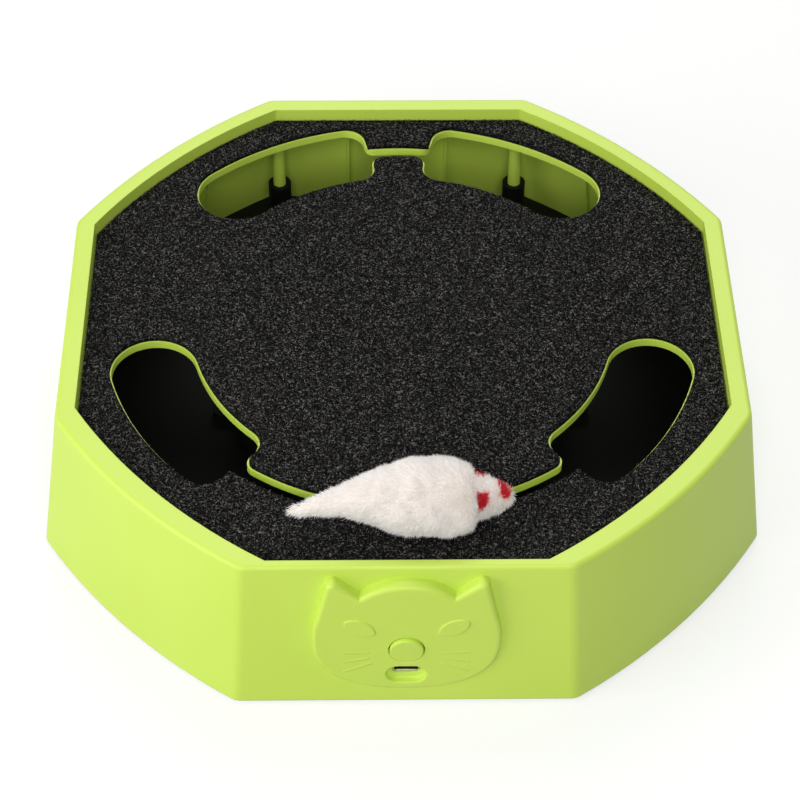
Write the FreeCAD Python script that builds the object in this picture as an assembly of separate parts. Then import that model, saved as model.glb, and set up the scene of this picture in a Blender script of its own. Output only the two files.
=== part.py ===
import FreeCAD, Part
import math
import os

from FreeCAD import Vector

# Automatic cat mouse toy. A plush mouse is carried round on top of a deck by an arm
# that runs underneath it, on a turntable driven by a small geared motor.
# Sizes are in millimetres and angles in degrees.
# The origin is on the floor, under the middle of the case. X runs to the right,
# Y to the back and Z up, so the cat's face on the front wall looks towards -Y.

# Case outline, at the bottom edge of the wall
case_width = 250.0
front_setback = 2.8          # the front wall stands in by this much more than the others
back_corner_cut = 73.0
front_corner_cut = 68.6      # along the front wall
front_corner_depth = 70.2    # along the side wall
diagonal_bulge = 5.5
corner_round = 6.0

# Case wall, from the bottom edge up to the rim
wall_thickness = 2.6
wall_draft = 8.1             # lean of the outer face from upright
rim_round = 1.6
side_rim_width = 6.4
front_rim_width = 3.1
back_diagonal_rim_width = 6.0
front_diagonal_rim_width = 7.7
ledge_width = 2.5
ledge_thickness = 2.5
rib_width = 1.2
rib_depth = 1.5
rib_spacing = 38.0

# Heights, stacked up from the floor
foot_stand = 1.2             # floor to the bottom edge of the wall
base_recess = 2.5            # bottom edge of the wall to the base plate
base_thickness = 2.5
motor_seat = 0.5
motor_can_length = 15.0
gearbox_length = 9.0
gear_gap = 0.8
gear_thickness = 5.0
arm_gap = 3.5                # ring gear to the lift arm
arm_height = 6.0
arm_headroom = 5.0           # lift arm to the deck
deck_thickness = 3.0
felt_thickness = 1.5
rim_lip = 4.5                # felt to the top of the rim

# Deck, its holes and the felt on it
deck_clearance = 0.15
felt_clearance = 0.4
turntable_set_back = 1.6     # turntable axis behind the middle of the case
lobe_margin = 6.6            # deck left between a mouse hole and the side wall
lobe_width = 29.5
lobe_span = 44.3             # angle from a mouse hole's end wall to its round tip
lobe_corner = 7.2
slot_width = 4.8
slot_flare = 3.8
front_slot_half = 38.8       # angle from the front to a mouse hole's end wall
back_slot_half = 7.1
end_wall_slant = 1.0         # angle that each end of an end wall is turned by
felt_setback = 0.5

# Posts in the case's corners, sleeves on the base and their screws
post_inset = 15.0            # from the two walls that meet at a corner
post_radius = 2.45
sleeve_radius = 4.4
sleeve_bore_clearance = 0.15
sleeve_height = 17.4
sleeve_floor = 9.8           # solid foot of a sleeve, which the screw passes
screw_radius = 1.5
screw_clearance = 0.2
screw_bite = 8.0             # thread in the plastic above a sleeve's floor
screw_head_radius = 2.7
screw_head_height = 2.0
screw_head_sink = 6.5        # depth of the head's hole above the base plate's underside
head_clearance = 0.3
screw_end_gap = 0.5          # pilot bore runs on past the screw's end by this much
screw_sides = 8              # screws and their holes are drawn with flats

# Base plate and feet
base_gap = 0.2
foot_radius = 6.5
foot_clearance = 0.05
foot_cup_wall = 2.0
foot_cup_depth = 0.8
foot_reach = 100.0           # feet from the turntable axis
foot_count = 4

# Centre column, bush and washer
column_radius = 9.0
journal_radius = 6.0
bush_wall = 2.0
running_clearance = 0.05
washer_thickness = 0.5
hub_drop = 3.4               # hub reaches this far below the ring gear
hub_rise = 4.0               # and this far above it
hub_radius = 11.0
hub_end_gap = 0.3
turntable_end_play = 0.1
centre_boss_radius = 8.5
column_screw_drop = 7.5      # seat of the column's screw head below the column's shoulder

# Ring gear and drive pinion
gear_module = 1.0
ring_teeth = 60
pinion_teeth = 12
pressure_angle = 25.0
backlash = 0.16
tooth_root_depth = 1.2       # dedendum, in modules
web_thickness = 3.0
web_hole_radius = 4.2
web_hole_count = 6
gear_rim_width = 3.2
pinion_rise = 0.5            # pinion stands above the ring gear
pinion_bore_clearance = 0.02

# Geared motor and its bracket
motor_can_width = 12.0
motor_depth = 10.0
motor_shaft_radius = 1.5
shaft_reach = 8.0            # shaft above the gearbox
shaft_socket = 3.0
shaft_end_gap = 0.1
shaft_flat_depth = 0.6
motor_boss_radius = 2.0
bracket_thickness = 3.0
bracket_drop = 1.7           # bracket's top below the gearbox's top
bracket_clearance = 0.15
bracket_post_spacing = 24.0
bracket_post_radius = 3.2
bracket_margin = 2.0         # bracket round its window
small_screw_radius = 1.0
small_screw_clearance = 0.1
small_head_radius = 1.9
small_head_height = 1.3
small_screw_bite = 6.0
screw_hole_floor = 0.5       # left under the blind holes in the base plate

# Lift arm, its hinge, roller and stem
hinge_reach = 24.0           # hinge pin from the turntable axis
hinge_pin_radius = 1.5
hinge_pin_clearance = 0.05
pin_press_clearance = 0.01
ear_thickness = 2.5
ear_gap = 0.2
ear_radius = 3.5
ear_foot = 9.0
arm_barrel_radius = 3.4
arm_width = 8.0
arm_tip_width = 6.4
arm_skin = 1.8
roller_radius = 4.5
roller_width = 5.0
roller_chamfer = 0.5
roller_gap = 0.3
roller_play = 0.1            # roller above the track when the arm is at rest
roller_inset = 3.5           # roller's middle inside the track's outer edge
axle_drop = 5.0              # roller axle below the arm
axle_radius = 1.0
axle_clearance = 0.05
fork_thickness = 2.0
fork_width = 6.0
fork_tip = 2.4
stem_radius = 1.3
stem_boss_radius = 3.4
stem_boss_rise = 0.5         # boss above the arm
stem_boss_drop = 1.0         # and below it
stem_seat = 5.0
stem_reach = 11.0            # stem above the felt
plug_radius = 4.2
plug_barrel_radius = 3.0
plug_flange = 1.5
plug_lift = 5.0              # plug's flange above the felt

# Undulating track
track_gap = 3.0              # motor to the track's inner edge
track_width = 15.5
track_wall = 2.0
track_fall = 15.5            # height from the top of the track to its low stretches
plateau_margin = 5.0         # angle that the front top runs on past the slot
track_lug_radius = 4.0
track_lug_height = 3.0
track_lug_count = 4
track_steps = 24             # points of the track's curve in each half turn

# Cat face panel, seen from the front, with heights above the wall's bottom edge
face_half_width = 30.7
face_centre_height = 29.4
face_lower_reach = 24.1
face_squareness = 2.4        # exponent of the cheeks' outline; 2 would be an ellipse
ear_base_angle = 19.0
ear_tip_x = 25.3
ear_tip_height = 57.2        # where the ear's edges would meet, before the tip is rounded
ear_round = 2.2
valley_x = 15.3
valley_height = 48.8
head_top_height = 54.6
relief_at_chin = 0.5
relief_at_top = 4.5
eye_x = 15.2
eye_height = 35.7
eye_length = 11.5
eye_thickness = 6.2
eye_slant = 31.0
eye_relief = 0.4
nose_height = 24.8
nose_radius = 5.55
nose_gap = 0.3
nose_proud = 0.8
nose_edge = 0.5              # chamfer round the button's front
nose_travel = 0.6
nose_flange = 1.6            # flange wider than the bore by this much
nose_flange_thickness = 1.2
nose_flange_gap = 0.1
nose_stem_radius = 1.6
mouth_height = 12.8
mouth_length = 13.3
mouth_width = 7.8
mouth_depth = 2.2
port_length = 9.3
port_width = 3.5
port_recess = 0.6            # socket's front behind the bottom of the mouth
panel_plug_half_width = 8.5
panel_plug_margin = 1.9
panel_plug_clearance = 0.2
panel_peg_x = 21.0
panel_peg_height = 40.0
panel_peg_radius = 1.4
panel_peg_reach = 1.5
panel_peg_clearance = 0.1
blank_reach = 10.0           # blanks and cutters start this far off a sloping wall

# Circuit board behind the front wall
board_gap = 11.5             # inside of the wall, at its bottom edge, to the board
board_thickness = 1.6
board_half_width = 22.0
board_low = 8.0
board_high = 37.0
board_screw_inset = 3.5
board_boss_radius = 2.6
socket_width = 8.94
socket_thickness = 3.26
socket_shell = 0.4
socket_tongue = 0.7
socket_tongue_margin = 1.0
switch_side = 6.0
switch_height = 3.4
switch_floor = 0.6
plunger_radius = 1.7
plunger_proud = 1.5
plunger_end_gap = 0.3
touch_gap = 0.1

# Battery
battery_gap = 1.7            # heads of the board's screws to the holder
cell_radius = 7.1
cell_length = 50.0
cell_cap_radius = 2.8
cell_cap_height = 1.0
cell_clearance = 0.1
holder_wall = 1.8
holder_floor = 1.5
holder_height = 9.0
holder_lug_height = 2.0
holder_lug_margin = 1.0
contact_thickness = 0.4
contact_half_width = 4.3
contact_rise = 2.0           # above the cell's middle

# Plush mouse, measured along its own length from the stem, with heights above its lowest point
mouse_outset = 5.7           # mouse's middle line outside the slot's middle
mouse_yaw = 4.5
mouse_hover = 0.4
body_back = 24.0             # behind the stem
body_length = 45.0
body_half_width = 13.6
body_height = 24.3
head_start = 17.0            # ahead of the stem
head_length = 16.8
head_half_width = 8.6
head_height = 16.7
head_lift = 1.9
tail_start = 20.0            # behind the stem
tail_length = 18.2
tail_half_width = 5.1
tail_height = 7.6
tail_lift = 7.6
patch_thickness = 0.5
nose_patch_radius = 3.1
nose_patch_along = 31.6
nose_patch_rise = 9.7        # above the head's lowest point
eye_patch_radius = 2.9
eye_patch_along = 23.0
eye_patch_middle = 8.2       # middle of the head's section there, above its lowest point
eye_patch_half_width = 7.9   # that section's half width
eye_patch_half_height = 7.5
eye_patch_turn = 32.0        # up the side of the head from its middle

# Places worked out from the sizes above
half_width = case_width / 2
half_depth = half_width - front_setback / 2
axis_y = turntable_set_back
lean = math.tan(math.radians(wall_draft))
wall_foot_z = foot_stand
base_z = wall_foot_z + base_recess
base_top_z = base_z + base_thickness
motor_z = base_top_z + motor_seat
gearbox_z = motor_z + motor_can_length
gearbox_top_z = gearbox_z + gearbox_length
gear_z = gearbox_top_z + gear_gap
gear_top_z = gear_z + gear_thickness
arm_z = gear_top_z + arm_gap
arm_top_z = arm_z + arm_height
hinge_z = (arm_z + arm_top_z) / 2
deck_z = arm_top_z + arm_headroom
deck_top_z = deck_z + deck_thickness
felt_top_z = deck_top_z + felt_thickness
rim_z = felt_top_z + rim_lip
hub_z = gear_z - hub_drop
shoulder_z = hub_z - turntable_end_play - washer_thickness
hub_top_z = gear_top_z + hub_rise
centre_boss_z = hub_top_z + hub_end_gap
rim_lean = (rim_z - wall_foot_z) * lean
tray_half_width = half_width - rim_lean - side_rim_width
path_radius = tray_half_width - lobe_margin - lobe_width / 2
ring_radius = gear_module * ring_teeth / 2
pinion_radius = gear_module * pinion_teeth / 2
motor_reach = ring_radius + pinion_radius
motor_y = axis_y - motor_reach
track_inner_radius = motor_reach + motor_can_width / 2 + track_gap
track_outer_radius = track_inner_radius + track_width
roller_reach = track_outer_radius - roller_inset
axle_z = arm_z - axle_drop
track_top_z = axle_z - roller_radius - roller_play
front_y = -half_depth
board_y = front_y + wall_thickness + board_gap
hinge_y = axis_y - hinge_reach
stem_y = axis_y - path_radius
stem_foot_z = arm_top_z + stem_boss_rise - stem_seat
stem_top_z = felt_top_z + stem_reach
clear_hole = small_screw_radius + small_screw_clearance
front_side = 6               # number of the front wall among the outline's eight sides


def cylinder(radius, low_z, high_z, x=0.0, y=0.0):
    """Upright cylinder between two heights."""
    return Part.makeCylinder(radius, high_z - low_z, Vector(x, y, low_z))


def rod(radius, start, end):
    """Cylinder between two points."""
    return Part.makeCylinder(radius, (end - start).Length, start, end - start)


def block(low_x, low_y, low_z, high_x, high_y, high_z):
    """Box between two corners."""
    return Part.makeBox(high_x - low_x, high_y - low_y, high_z - low_z, Vector(low_x, low_y, low_z))


def prism(radius, start, end):
    """Flat-sided prism between two points, with its corners at a radius, for a screw."""
    axis = end - start
    across = Vector(1, 0, 0)
    up = axis.cross(across).normalize()
    corners = []
    for i in range(screw_sides):
        turn = math.pi * (2 * i + 1) / screw_sides
        corners.append(start + across * (radius * math.cos(turn)) + up * (radius * math.sin(turn)))
    return Part.Face(polygon(corners)).extrude(axis)


def screw_hole(radius, start, end):
    """Flat-sided hole that just clears a round screw of a radius."""
    return prism(radius / math.cos(math.pi / screw_sides), start, end)


def upright_hole(radius, low_z, high_z, spot):
    """Upright screw hole between two heights, at a plan point."""
    return screw_hole(radius, Vector(spot.x, spot.y, low_z), Vector(spot.x, spot.y, high_z))


def fuse_all(shapes):
    """One solid from overlapping solids."""
    joined = shapes[0]
    for shape in shapes[1:]:
        joined = joined.fuse(shape)
    return joined.removeSplitter()


def cut_all(shape, tools):
    """Shape with every tool taken out of it."""
    for tool in tools:
        shape = shape.cut(tool)
    return shape


def around(radius, angle, z=0.0):
    """Point at an angle round the turntable axis."""
    turn = math.radians(angle)
    return Vector(radius * math.cos(turn), axis_y + radius * math.sin(turn), z)


def mirrored(shape):
    """The same shape on the other side of the case."""
    return shape.mirror(Vector(0, 0, 0), Vector(1, 0, 0))


def polygon(points):
    """Closed wire of straight lines."""
    return Part.makePolygon(points + [points[0]])


# Case outline

def case_corners():
    """Corners of the outline at the wall's bottom edge, counter-clockwise from the right side's front end."""
    right = [
        Vector(half_width, -half_depth + front_corner_depth, 0),
        Vector(half_width, half_depth - back_corner_cut, 0),
        Vector(half_width - back_corner_cut, half_depth, 0),
    ]
    left = [Vector(-corner.x, corner.y, 0) for corner in reversed(right)]
    front_x = half_width - front_corner_cut
    return right + left + [Vector(-front_x, -half_depth, 0), Vector(front_x, -half_depth, 0)]


def drawn_in(corners, amounts):
    """Corners after each side has moved inwards by its own amount. Side i runs from corner i to the next."""
    moved = []
    count = len(corners)
    for i in range(count):
        here = corners[i]
        normals = []
        for start, end in ((corners[i - 1], here), (here, corners[(i + 1) % count])):
            along = (end - start).normalize()
            normals.append(Vector(-along.y, along.x, 0))
        first, second = normals
        one, two = amounts[i - 1], amounts[i]
        cross = first.x * second.y - first.y * second.x
        x = (one * second.y - two * first.y) / cross
        y = (two * first.x - one * second.x) / cross
        moved.append(here + Vector(x, y, 0))
    return moved


def outline(corners, z, bulge=diagonal_bulge):
    """Closed wire with straight walls between bowed corner walls."""
    edges = []
    for i in range(len(corners)):
        start = Vector(corners[i].x, corners[i].y, z)
        following = corners[(i + 1) % len(corners)]
        end = Vector(following.x, following.y, z)
        if i % 2 == 0:
            edges.append(Part.LineSegment(start, end).toShape())
        else:
            along = (end - start).normalize()
            crown = (start + end) * 0.5 + Vector(along.y, -along.x, 0) * bulge
            edges.append(Part.Arc(start, crown, end).toShape())
    return Part.Wire(edges)


def wall_outline(inset, z):
    """Outline of the drafted wall's outer face at a height, drawn in by an inset."""
    amount = inset + (z - wall_foot_z) * lean
    return outline(drawn_in(case_corners(), [amount] * 8), z)


def wall_loft(inset, low_z, high_z):
    """Solid inside the drafted wall's outer face, drawn in by an inset."""
    return Part.makeLoft([wall_outline(inset, low_z), wall_outline(inset, high_z)], True, True)


def tray_corners(inset):
    """Corners of the tray inside the rim, drawn in by an inset."""
    amounts = [side_rim_width, back_diagonal_rim_width] * 2
    amounts += [side_rim_width, front_diagonal_rim_width, front_rim_width, front_diagonal_rim_width]
    return drawn_in(case_corners(), [rim_lean + amount + inset for amount in amounts])


def tray_prism(inset, low_z, high_z):
    """Upright solid with the outline of the tray inside the rim."""
    return Part.Face(outline(tray_corners(inset), low_z)).extrude(Vector(0, 0, high_z - low_z))


# Mouse holes and slots

def upright_edges(shape, spots):
    """Edges of a shape that stand upright on the given plan points."""
    found = []
    for edge in shape.Edges:
        ends = [vertex.Point for vertex in edge.Vertexes]
        if len(ends) < 2 or math.hypot(ends[0].x - ends[1].x, ends[0].y - ends[1].y) > 0.001:
            continue
        if any(math.hypot(ends[0].x - spot.x, ends[0].y - spot.y) < 0.3 for spot in spots):
            found.append(edge)
    return found


def lobe_prism(end_wall, turn, grow, low_z, high_z):
    """One mouse hole: a ring sector with a straight end wall and a round tip."""
    half = lobe_width / 2 + grow
    inner = path_radius - half
    outer = path_radius + half
    wall = end_wall - turn * math.degrees(grow / path_radius)
    wall_inner = around(inner, wall - turn * end_wall_slant, low_z)
    wall_outer = around(outer, wall + turn * end_wall_slant, low_z)
    tip = end_wall + turn * (lobe_span + math.degrees(grow / path_radius))
    centre = tip - turn * math.degrees(math.asin(half / path_radius))
    middle = (wall + centre) / 2
    tip_centre = around(path_radius, centre, low_z)
    tangent = (around(1, centre + turn * 90) - around(0, 0)) * half
    edges = [
        Part.LineSegment(wall_inner, wall_outer),
        Part.Arc(wall_outer, around(outer, middle, low_z), around(outer, centre, low_z)),
        Part.Arc(around(outer, centre, low_z), tip_centre + tangent, around(inner, centre, low_z)),
        Part.Arc(around(inner, centre, low_z), around(inner, middle, low_z), wall_inner),
    ]
    face = Part.Face(Part.Wire([edge.toShape() for edge in edges]))
    prism = face.extrude(Vector(0, 0, high_z - low_z))
    corners = upright_edges(prism, [wall_inner, wall_outer])
    return prism.makeFillet(lobe_corner, corners), wall


def slot_prism(start, end, grow, low_z, high_z):
    """Ring sector for the stem's slot, between two angles."""
    half = slot_width / 2 + grow
    inner = path_radius - half
    outer = path_radius + half
    middle = (start + end) / 2
    edges = [
        Part.LineSegment(around(inner, start, low_z), around(outer, start, low_z)),
        Part.Arc(around(outer, start, low_z), around(outer, middle, low_z), around(outer, end, low_z)),
        Part.LineSegment(around(outer, end, low_z), around(inner, end, low_z)),
        Part.Arc(around(inner, end, low_z), around(inner, middle, low_z), around(inner, start, low_z)),
    ]
    face = Part.Face(Part.Wire([edge.toShape() for edge in edges]))
    return face.extrude(Vector(0, 0, high_z - low_z))


def joined_holes(end_wall, turn, other_end, grow, low_z, high_z):
    """Two mirrored mouse holes and the slot that joins them, with its mouths flared."""
    lobe, wall = lobe_prism(end_wall, turn, grow, low_z, high_z)
    overlap = turn * lobe_span / 4
    slot = slot_prism(wall + overlap, other_end - (wall + overlap), grow, low_z, high_z)
    hole = fuse_all([lobe, slot, mirrored(lobe)])
    half = slot_width / 2 + grow
    mouths = []
    for side in (-1, 1):
        slant = end_wall_slant * side * slot_width / lobe_width
        spot = around(path_radius + side * half, wall + turn * slant)
        mouths += [spot, Vector(-spot.x, spot.y, 0)]
    return hole.makeFillet(slot_flare, upright_edges(hole, mouths))


def deck_holes(grow, low_z, high_z):
    """Cutters for the front and back pairs of mouse holes, grown all round."""
    front = joined_holes(-90 + front_slot_half, 1, -180, grow, low_z, high_z)
    back = joined_holes(90 - back_slot_half, -1, 180, grow, low_z, high_z)
    return [front, back]


# Posts, feet and screw places

def post_places():
    """Plan points of the posts, one inside each corner of the case."""
    return drawn_in(case_corners(), [post_inset] * 8)


def foot_places():
    """Plan points of the feet, on the diagonals."""
    step = 360 / foot_count
    return [around(foot_reach, step / 2 + i * step) for i in range(foot_count)]


def wall_y(z):
    """Outer face of the front wall at a height."""
    return front_y + (z - wall_foot_z) * lean


def face_y(z):
    """Face of the cat panel at a height."""
    chin_z = wall_foot_z + face_centre_height - face_lower_reach
    top_z = wall_foot_z + head_top_height
    share = (z - chin_z) / (top_z - chin_z)
    relief = relief_at_chin + share * (relief_at_top - relief_at_chin)
    return wall_y(z) - relief


def off_face(amount):
    """Function for a surface this far behind the face of the cat panel."""
    return lambda z: face_y(z) + amount


def front_slab(outer, inner, low_z, high_z, half):
    """Slab across the front between two sloping faces, each given as a function of height."""
    points = [
        Vector(-half, outer(low_z), low_z),
        Vector(-half, outer(high_z), high_z),
        Vector(-half, inner(high_z), high_z),
        Vector(-half, inner(low_z), low_z),
    ]
    return Part.Face(polygon(points)).extrude(Vector(2 * half, 0, 0))


def stadium_along_y(x, z, length, width, start_y, end_y):
    """Prism along Y with a round-ended section."""
    half = (length - width) / 2
    body = block(x - half, start_y, z - width / 2, x + half, end_y, z + width / 2)
    for side in (-half, half):
        body = body.fuse(rod(width / 2, Vector(x + side, start_y, z), Vector(x + side, end_y, z)))
    return body.removeSplitter()


def board_screw_places():
    """Screw points on the circuit board, as x and height."""
    x = board_half_width - board_screw_inset
    low = wall_foot_z + board_low + board_screw_inset
    high = wall_foot_z + board_high - board_screw_inset
    return [(side * x, z) for side in (-1, 1) for z in (low, high)]


# Case wall

def plug_window(clearance):
    """Low and high corner of the window in the front wall, as half width and two heights."""
    low = wall_foot_z + mouth_height - mouth_width / 2 - panel_plug_margin - clearance
    high = wall_foot_z + nose_height + nose_radius + nose_gap + panel_plug_margin + clearance
    return panel_plug_half_width + clearance, low, high


def panel_pegs(radius, start_y, end_y):
    """The two pegs that hold the cat panel, or their holes."""
    z = wall_foot_z + panel_peg_height
    return [rod(radius, Vector(x, start_y, z), Vector(x, end_y, z)) for x in (-panel_peg_x, panel_peg_x)]


def wall_ribs():
    """Upright ribs inside every wall but the front one, standing on the base plate."""
    ledge_z = deck_z - ledge_thickness
    band = wall_loft(wall_thickness / 2, base_top_z, ledge_z)
    band = band.cut(wall_loft(wall_thickness + rib_depth, base_top_z, ledge_z))
    corners = case_corners()
    ribs = []
    for i in range(8):
        if i == front_side:
            continue
        start, end = corners[i], corners[(i + 1) % 8]
        along = (end - start).normalize()
        inwards = Vector(-along.y, along.x, 0)
        for side in (-1, 1):
            middle = (start + end) * 0.5 + along * (side * rib_spacing / 2)
            low = middle - along * (rib_width / 2) - inwards * blank_reach
            depth = inwards * (3 * blank_reach)
            plan = [low, low + along * rib_width, low + along * rib_width + depth, low + depth]
            plan = [Vector(point.x, point.y, base_top_z) for point in plan]
            slab = Part.Face(polygon(plan)).extrude(Vector(0, 0, ledge_z - base_top_z))
            ribs.append(slab.common(band))
    return ribs


def case_wall():
    """The ring: drafted walls, the rim, the deck's ledge, ribs, corner posts and the board's bosses."""
    outer = wall_loft(0, wall_foot_z, rim_z)
    corner_edges = []
    for edge in outer.Edges:
        if edge.BoundBox.ZLength > rim_lip:
            corner_edges.append(edge)
    outer = outer.makeFillet(corner_round, corner_edges)
    rim_edges = [edge for edge in outer.Edges if edge.BoundBox.ZMin > rim_z - 0.01]
    outer = outer.makeFillet(rim_round, rim_edges)
    ledge_z = deck_z - ledge_thickness
    ring = outer.cut(tray_prism(0, deck_z, rim_z + 1))
    ring = ring.cut(tray_prism(ledge_width, ledge_z - 1, deck_z + 1))
    ring = ring.cut(wall_loft(wall_thickness, wall_foot_z - 1, ledge_z))
    inside = wall_loft(wall_thickness / 2, wall_foot_z, ledge_z)
    bosses = []
    for x, z in board_screw_places():
        boss = rod(board_boss_radius, Vector(x, front_y - blank_reach, z), Vector(x, board_y, z))
        bosses.append(boss.common(inside))
    post_z = base_top_z + sleeve_floor
    posts = [cylinder(post_radius, post_z, deck_z, spot.x, spot.y) for spot in post_places()]
    ring = fuse_all([ring] + wall_ribs() + bosses + posts)
    pilot = screw_radius - screw_clearance
    pilot_top = post_z + screw_bite + screw_end_gap
    tools = [upright_hole(pilot, post_z - 1, pilot_top, spot) for spot in post_places()]
    for x, z in board_screw_places():
        start = Vector(x, board_y - small_screw_bite, z)
        tools.append(screw_hole(small_screw_radius, start, Vector(x, board_y + 1, z)))
    window, low, high = plug_window(panel_plug_clearance)
    tools.append(block(-window, front_y - blank_reach, low, window, board_y, high))
    tools += panel_pegs(panel_peg_radius + panel_peg_clearance, front_y - blank_reach, board_y)
    return cut_all(ring, tools)


# Deck and felt

def deck():
    """Deck plate with its mouse holes, its slots and the centre boss."""
    plate = tray_prism(deck_clearance, deck_z, deck_top_z)
    plate = cut_all(plate, deck_holes(0, deck_z - 1, deck_top_z + 1))
    boss = cylinder(centre_boss_radius, centre_boss_z, deck_top_z, 0, axis_y)
    pilot_top = centre_boss_z + screw_bite + screw_end_gap
    bore = upright_hole(screw_radius - screw_clearance, centre_boss_z - 1, pilot_top, Vector(0, axis_y, 0))
    return fuse_all([plate, boss]).cut(bore)


def felt_pad():
    """Sheet of felt on the deck, cut back a little round the holes."""
    sheet = tray_prism(felt_clearance, deck_top_z, felt_top_z)
    return cut_all(sheet, deck_holes(felt_setback, deck_top_z - 1, felt_top_z + 1))


# Cat panel and nose button

def cheek_point(turn, y):
    """Point of the cheeks' outline at a turn round the face's middle."""
    across = math.cos(math.radians(turn))
    rise = math.sin(math.radians(turn))
    power = 2 / face_squareness
    x = math.copysign(abs(across) ** power, across) * face_half_width
    z = math.copysign(abs(rise) ** power, rise) * face_lower_reach
    return Vector(x, y, wall_foot_z + face_centre_height + z)


def cat_outline(y):
    """Front outline of the cat's head: full cheeks, two ears and a low crown."""
    start = 180 - ear_base_angle
    end = 360 + ear_base_angle
    steps = 20
    cheeks = Part.BSplineCurve()
    cheeks.interpolate([cheek_point(start + (end - start) * i / steps, y) for i in range(steps + 1)])
    right_tip = Vector(ear_tip_x, y, wall_foot_z + ear_tip_height)
    right_valley = Vector(valley_x, y, wall_foot_z + valley_height)
    crown = Vector(0, y, wall_foot_z + head_top_height)
    left_valley = Vector(-valley_x, y, wall_foot_z + valley_height)
    left_tip = Vector(-ear_tip_x, y, wall_foot_z + ear_tip_height)
    edges = [
        cheeks,
        Part.LineSegment(cheek_point(end, y), right_tip),
        Part.LineSegment(right_tip, right_valley),
        Part.Arc(right_valley, crown, left_valley),
        Part.LineSegment(left_valley, left_tip),
        Part.LineSegment(left_tip, cheek_point(start, y)),
    ]
    return Part.Wire([edge.toShape() for edge in edges])


def raised_eye(side):
    """Leaf-shaped closed eye on one side, its outer end higher."""
    z = wall_foot_z + eye_height
    slant = math.radians(eye_slant)
    along = Vector(side * math.cos(slant), 0, math.sin(slant)) * (eye_length / 2)
    across = Vector(-side * math.sin(slant), 0, math.cos(slant)) * (eye_thickness / 2)
    middle = Vector(side * eye_x, face_y(z) - blank_reach, z)
    upper = Part.Arc(middle - along, middle + across, middle + along)
    lower = Part.Arc(middle + along, middle - across, middle - along)
    leaf = Part.Face(Part.Wire([upper.toShape(), lower.toShape()])).extrude(Vector(0, 2 * blank_reach, 0))
    low_z = z - eye_length
    high_z = z + eye_length
    return leaf.common(front_slab(off_face(-eye_relief), off_face(eye_relief), low_z, high_z, half_width))


def panel_plug(half, low, high):
    """The panel's block that fills the window in the front wall."""
    return front_slab(wall_y, lambda z: wall_y(z) + wall_thickness, low, high, half)


def cat_face_panel():
    """Raised cat's head with closed eyes, the nose's bore, the mouth pocket, the port's slot and pegs."""
    head = Part.Face(cat_outline(front_y - blank_reach)).extrude(Vector(0, 3 * blank_reach, 0))
    tips = [edge for edge in head.Edges if all(abs(abs(end.X) - ear_tip_x) < 0.01 for end in edge.Vertexes)]
    head = head.makeFillet(ear_round, tips)
    high_z = wall_foot_z + ear_tip_height
    relief = head.common(front_slab(face_y, wall_y, wall_foot_z, high_z, half_width))
    parts = [relief, panel_plug(*plug_window(0)), raised_eye(-1), raised_eye(1)]
    peg_z = wall_foot_z + panel_peg_height
    peg_end = wall_y(peg_z) + wall_thickness + panel_peg_reach
    parts += panel_pegs(panel_peg_radius, wall_y(peg_z) - relief_at_chin, peg_end)
    panel = fuse_all(parts)
    nose_z = wall_foot_z + nose_height
    mouth_z = wall_foot_z + mouth_height
    mouth_end = face_y(mouth_z) + mouth_depth
    tools = [
        rod(nose_radius + nose_gap, Vector(0, front_y - blank_reach, nose_z), Vector(0, board_y, nose_z)),
        stadium_along_y(0, mouth_z, mouth_length, mouth_width, front_y - blank_reach, mouth_end),
        stadium_along_y(0, mouth_z, port_length, port_width, front_y - blank_reach, board_y),
    ]
    return cut_all(panel, tools)


def nose_flange_y():
    """Front face of the nose button's flange, against the back of the panel's plug."""
    low = wall_foot_z + nose_height - nose_radius - nose_gap - nose_flange
    high = wall_foot_z + nose_height + nose_radius + nose_gap + nose_flange
    return max(wall_y(low), wall_y(high)) + wall_thickness + nose_flange_gap


def plunger_tip_y():
    """Front end of the switch plunger, which the nose button's stem rests on."""
    return board_y - switch_height - plunger_proud


def nose_button():
    """Round button with a chamfered front, a flange behind the panel and a stem to the switch."""
    z = wall_foot_z + nose_height
    front = face_y(z) - nose_proud
    flange_front = nose_flange_y()
    flange_back = flange_front + nose_flange_thickness
    stem_end = plunger_tip_y() - touch_gap
    corners = [
        Vector(0, front, z),
        Vector(nose_radius - nose_edge, front, z),
        Vector(nose_radius, front + nose_edge, z),
        Vector(nose_radius, flange_front, z),
        Vector(nose_radius + nose_gap + nose_flange, flange_front, z),
        Vector(nose_radius + nose_gap + nose_flange, flange_back, z),
        Vector(nose_stem_radius, flange_back, z),
        Vector(nose_stem_radius, stem_end, z),
        Vector(0, stem_end, z),
    ]
    return Part.Face(polygon(corners)).revolve(Vector(0, 0, z), Vector(0, 1, 0), 360)


# Base plate

def track_lug_places():
    """Plan points of the track's screw lugs."""
    step = 360 / track_lug_count
    reach = track_outer_radius + track_lug_radius
    return [around(reach, 90 + i * step) for i in range(track_lug_count)]


def bracket_screw_places():
    """Plan points of the motor bracket's screws."""
    half = bracket_post_spacing / 2
    return [Vector(-half, motor_y, 0), Vector(half, motor_y, 0)]


def battery_middle():
    """Middle of the battery cell."""
    holder_y = board_y + board_thickness + small_head_height + battery_gap
    return Vector(0, holder_y + holder_wall + cell_radius, base_top_z + holder_floor + cell_radius)


def holder_screw_places():
    """Plan points of the battery holder's screws, beside its end walls."""
    reach = cell_length / 2 + contact_thickness + holder_wall + small_head_radius + head_clearance
    return [Vector(side * reach, battery_middle().y, 0) for side in (-1, 1)]


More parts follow.
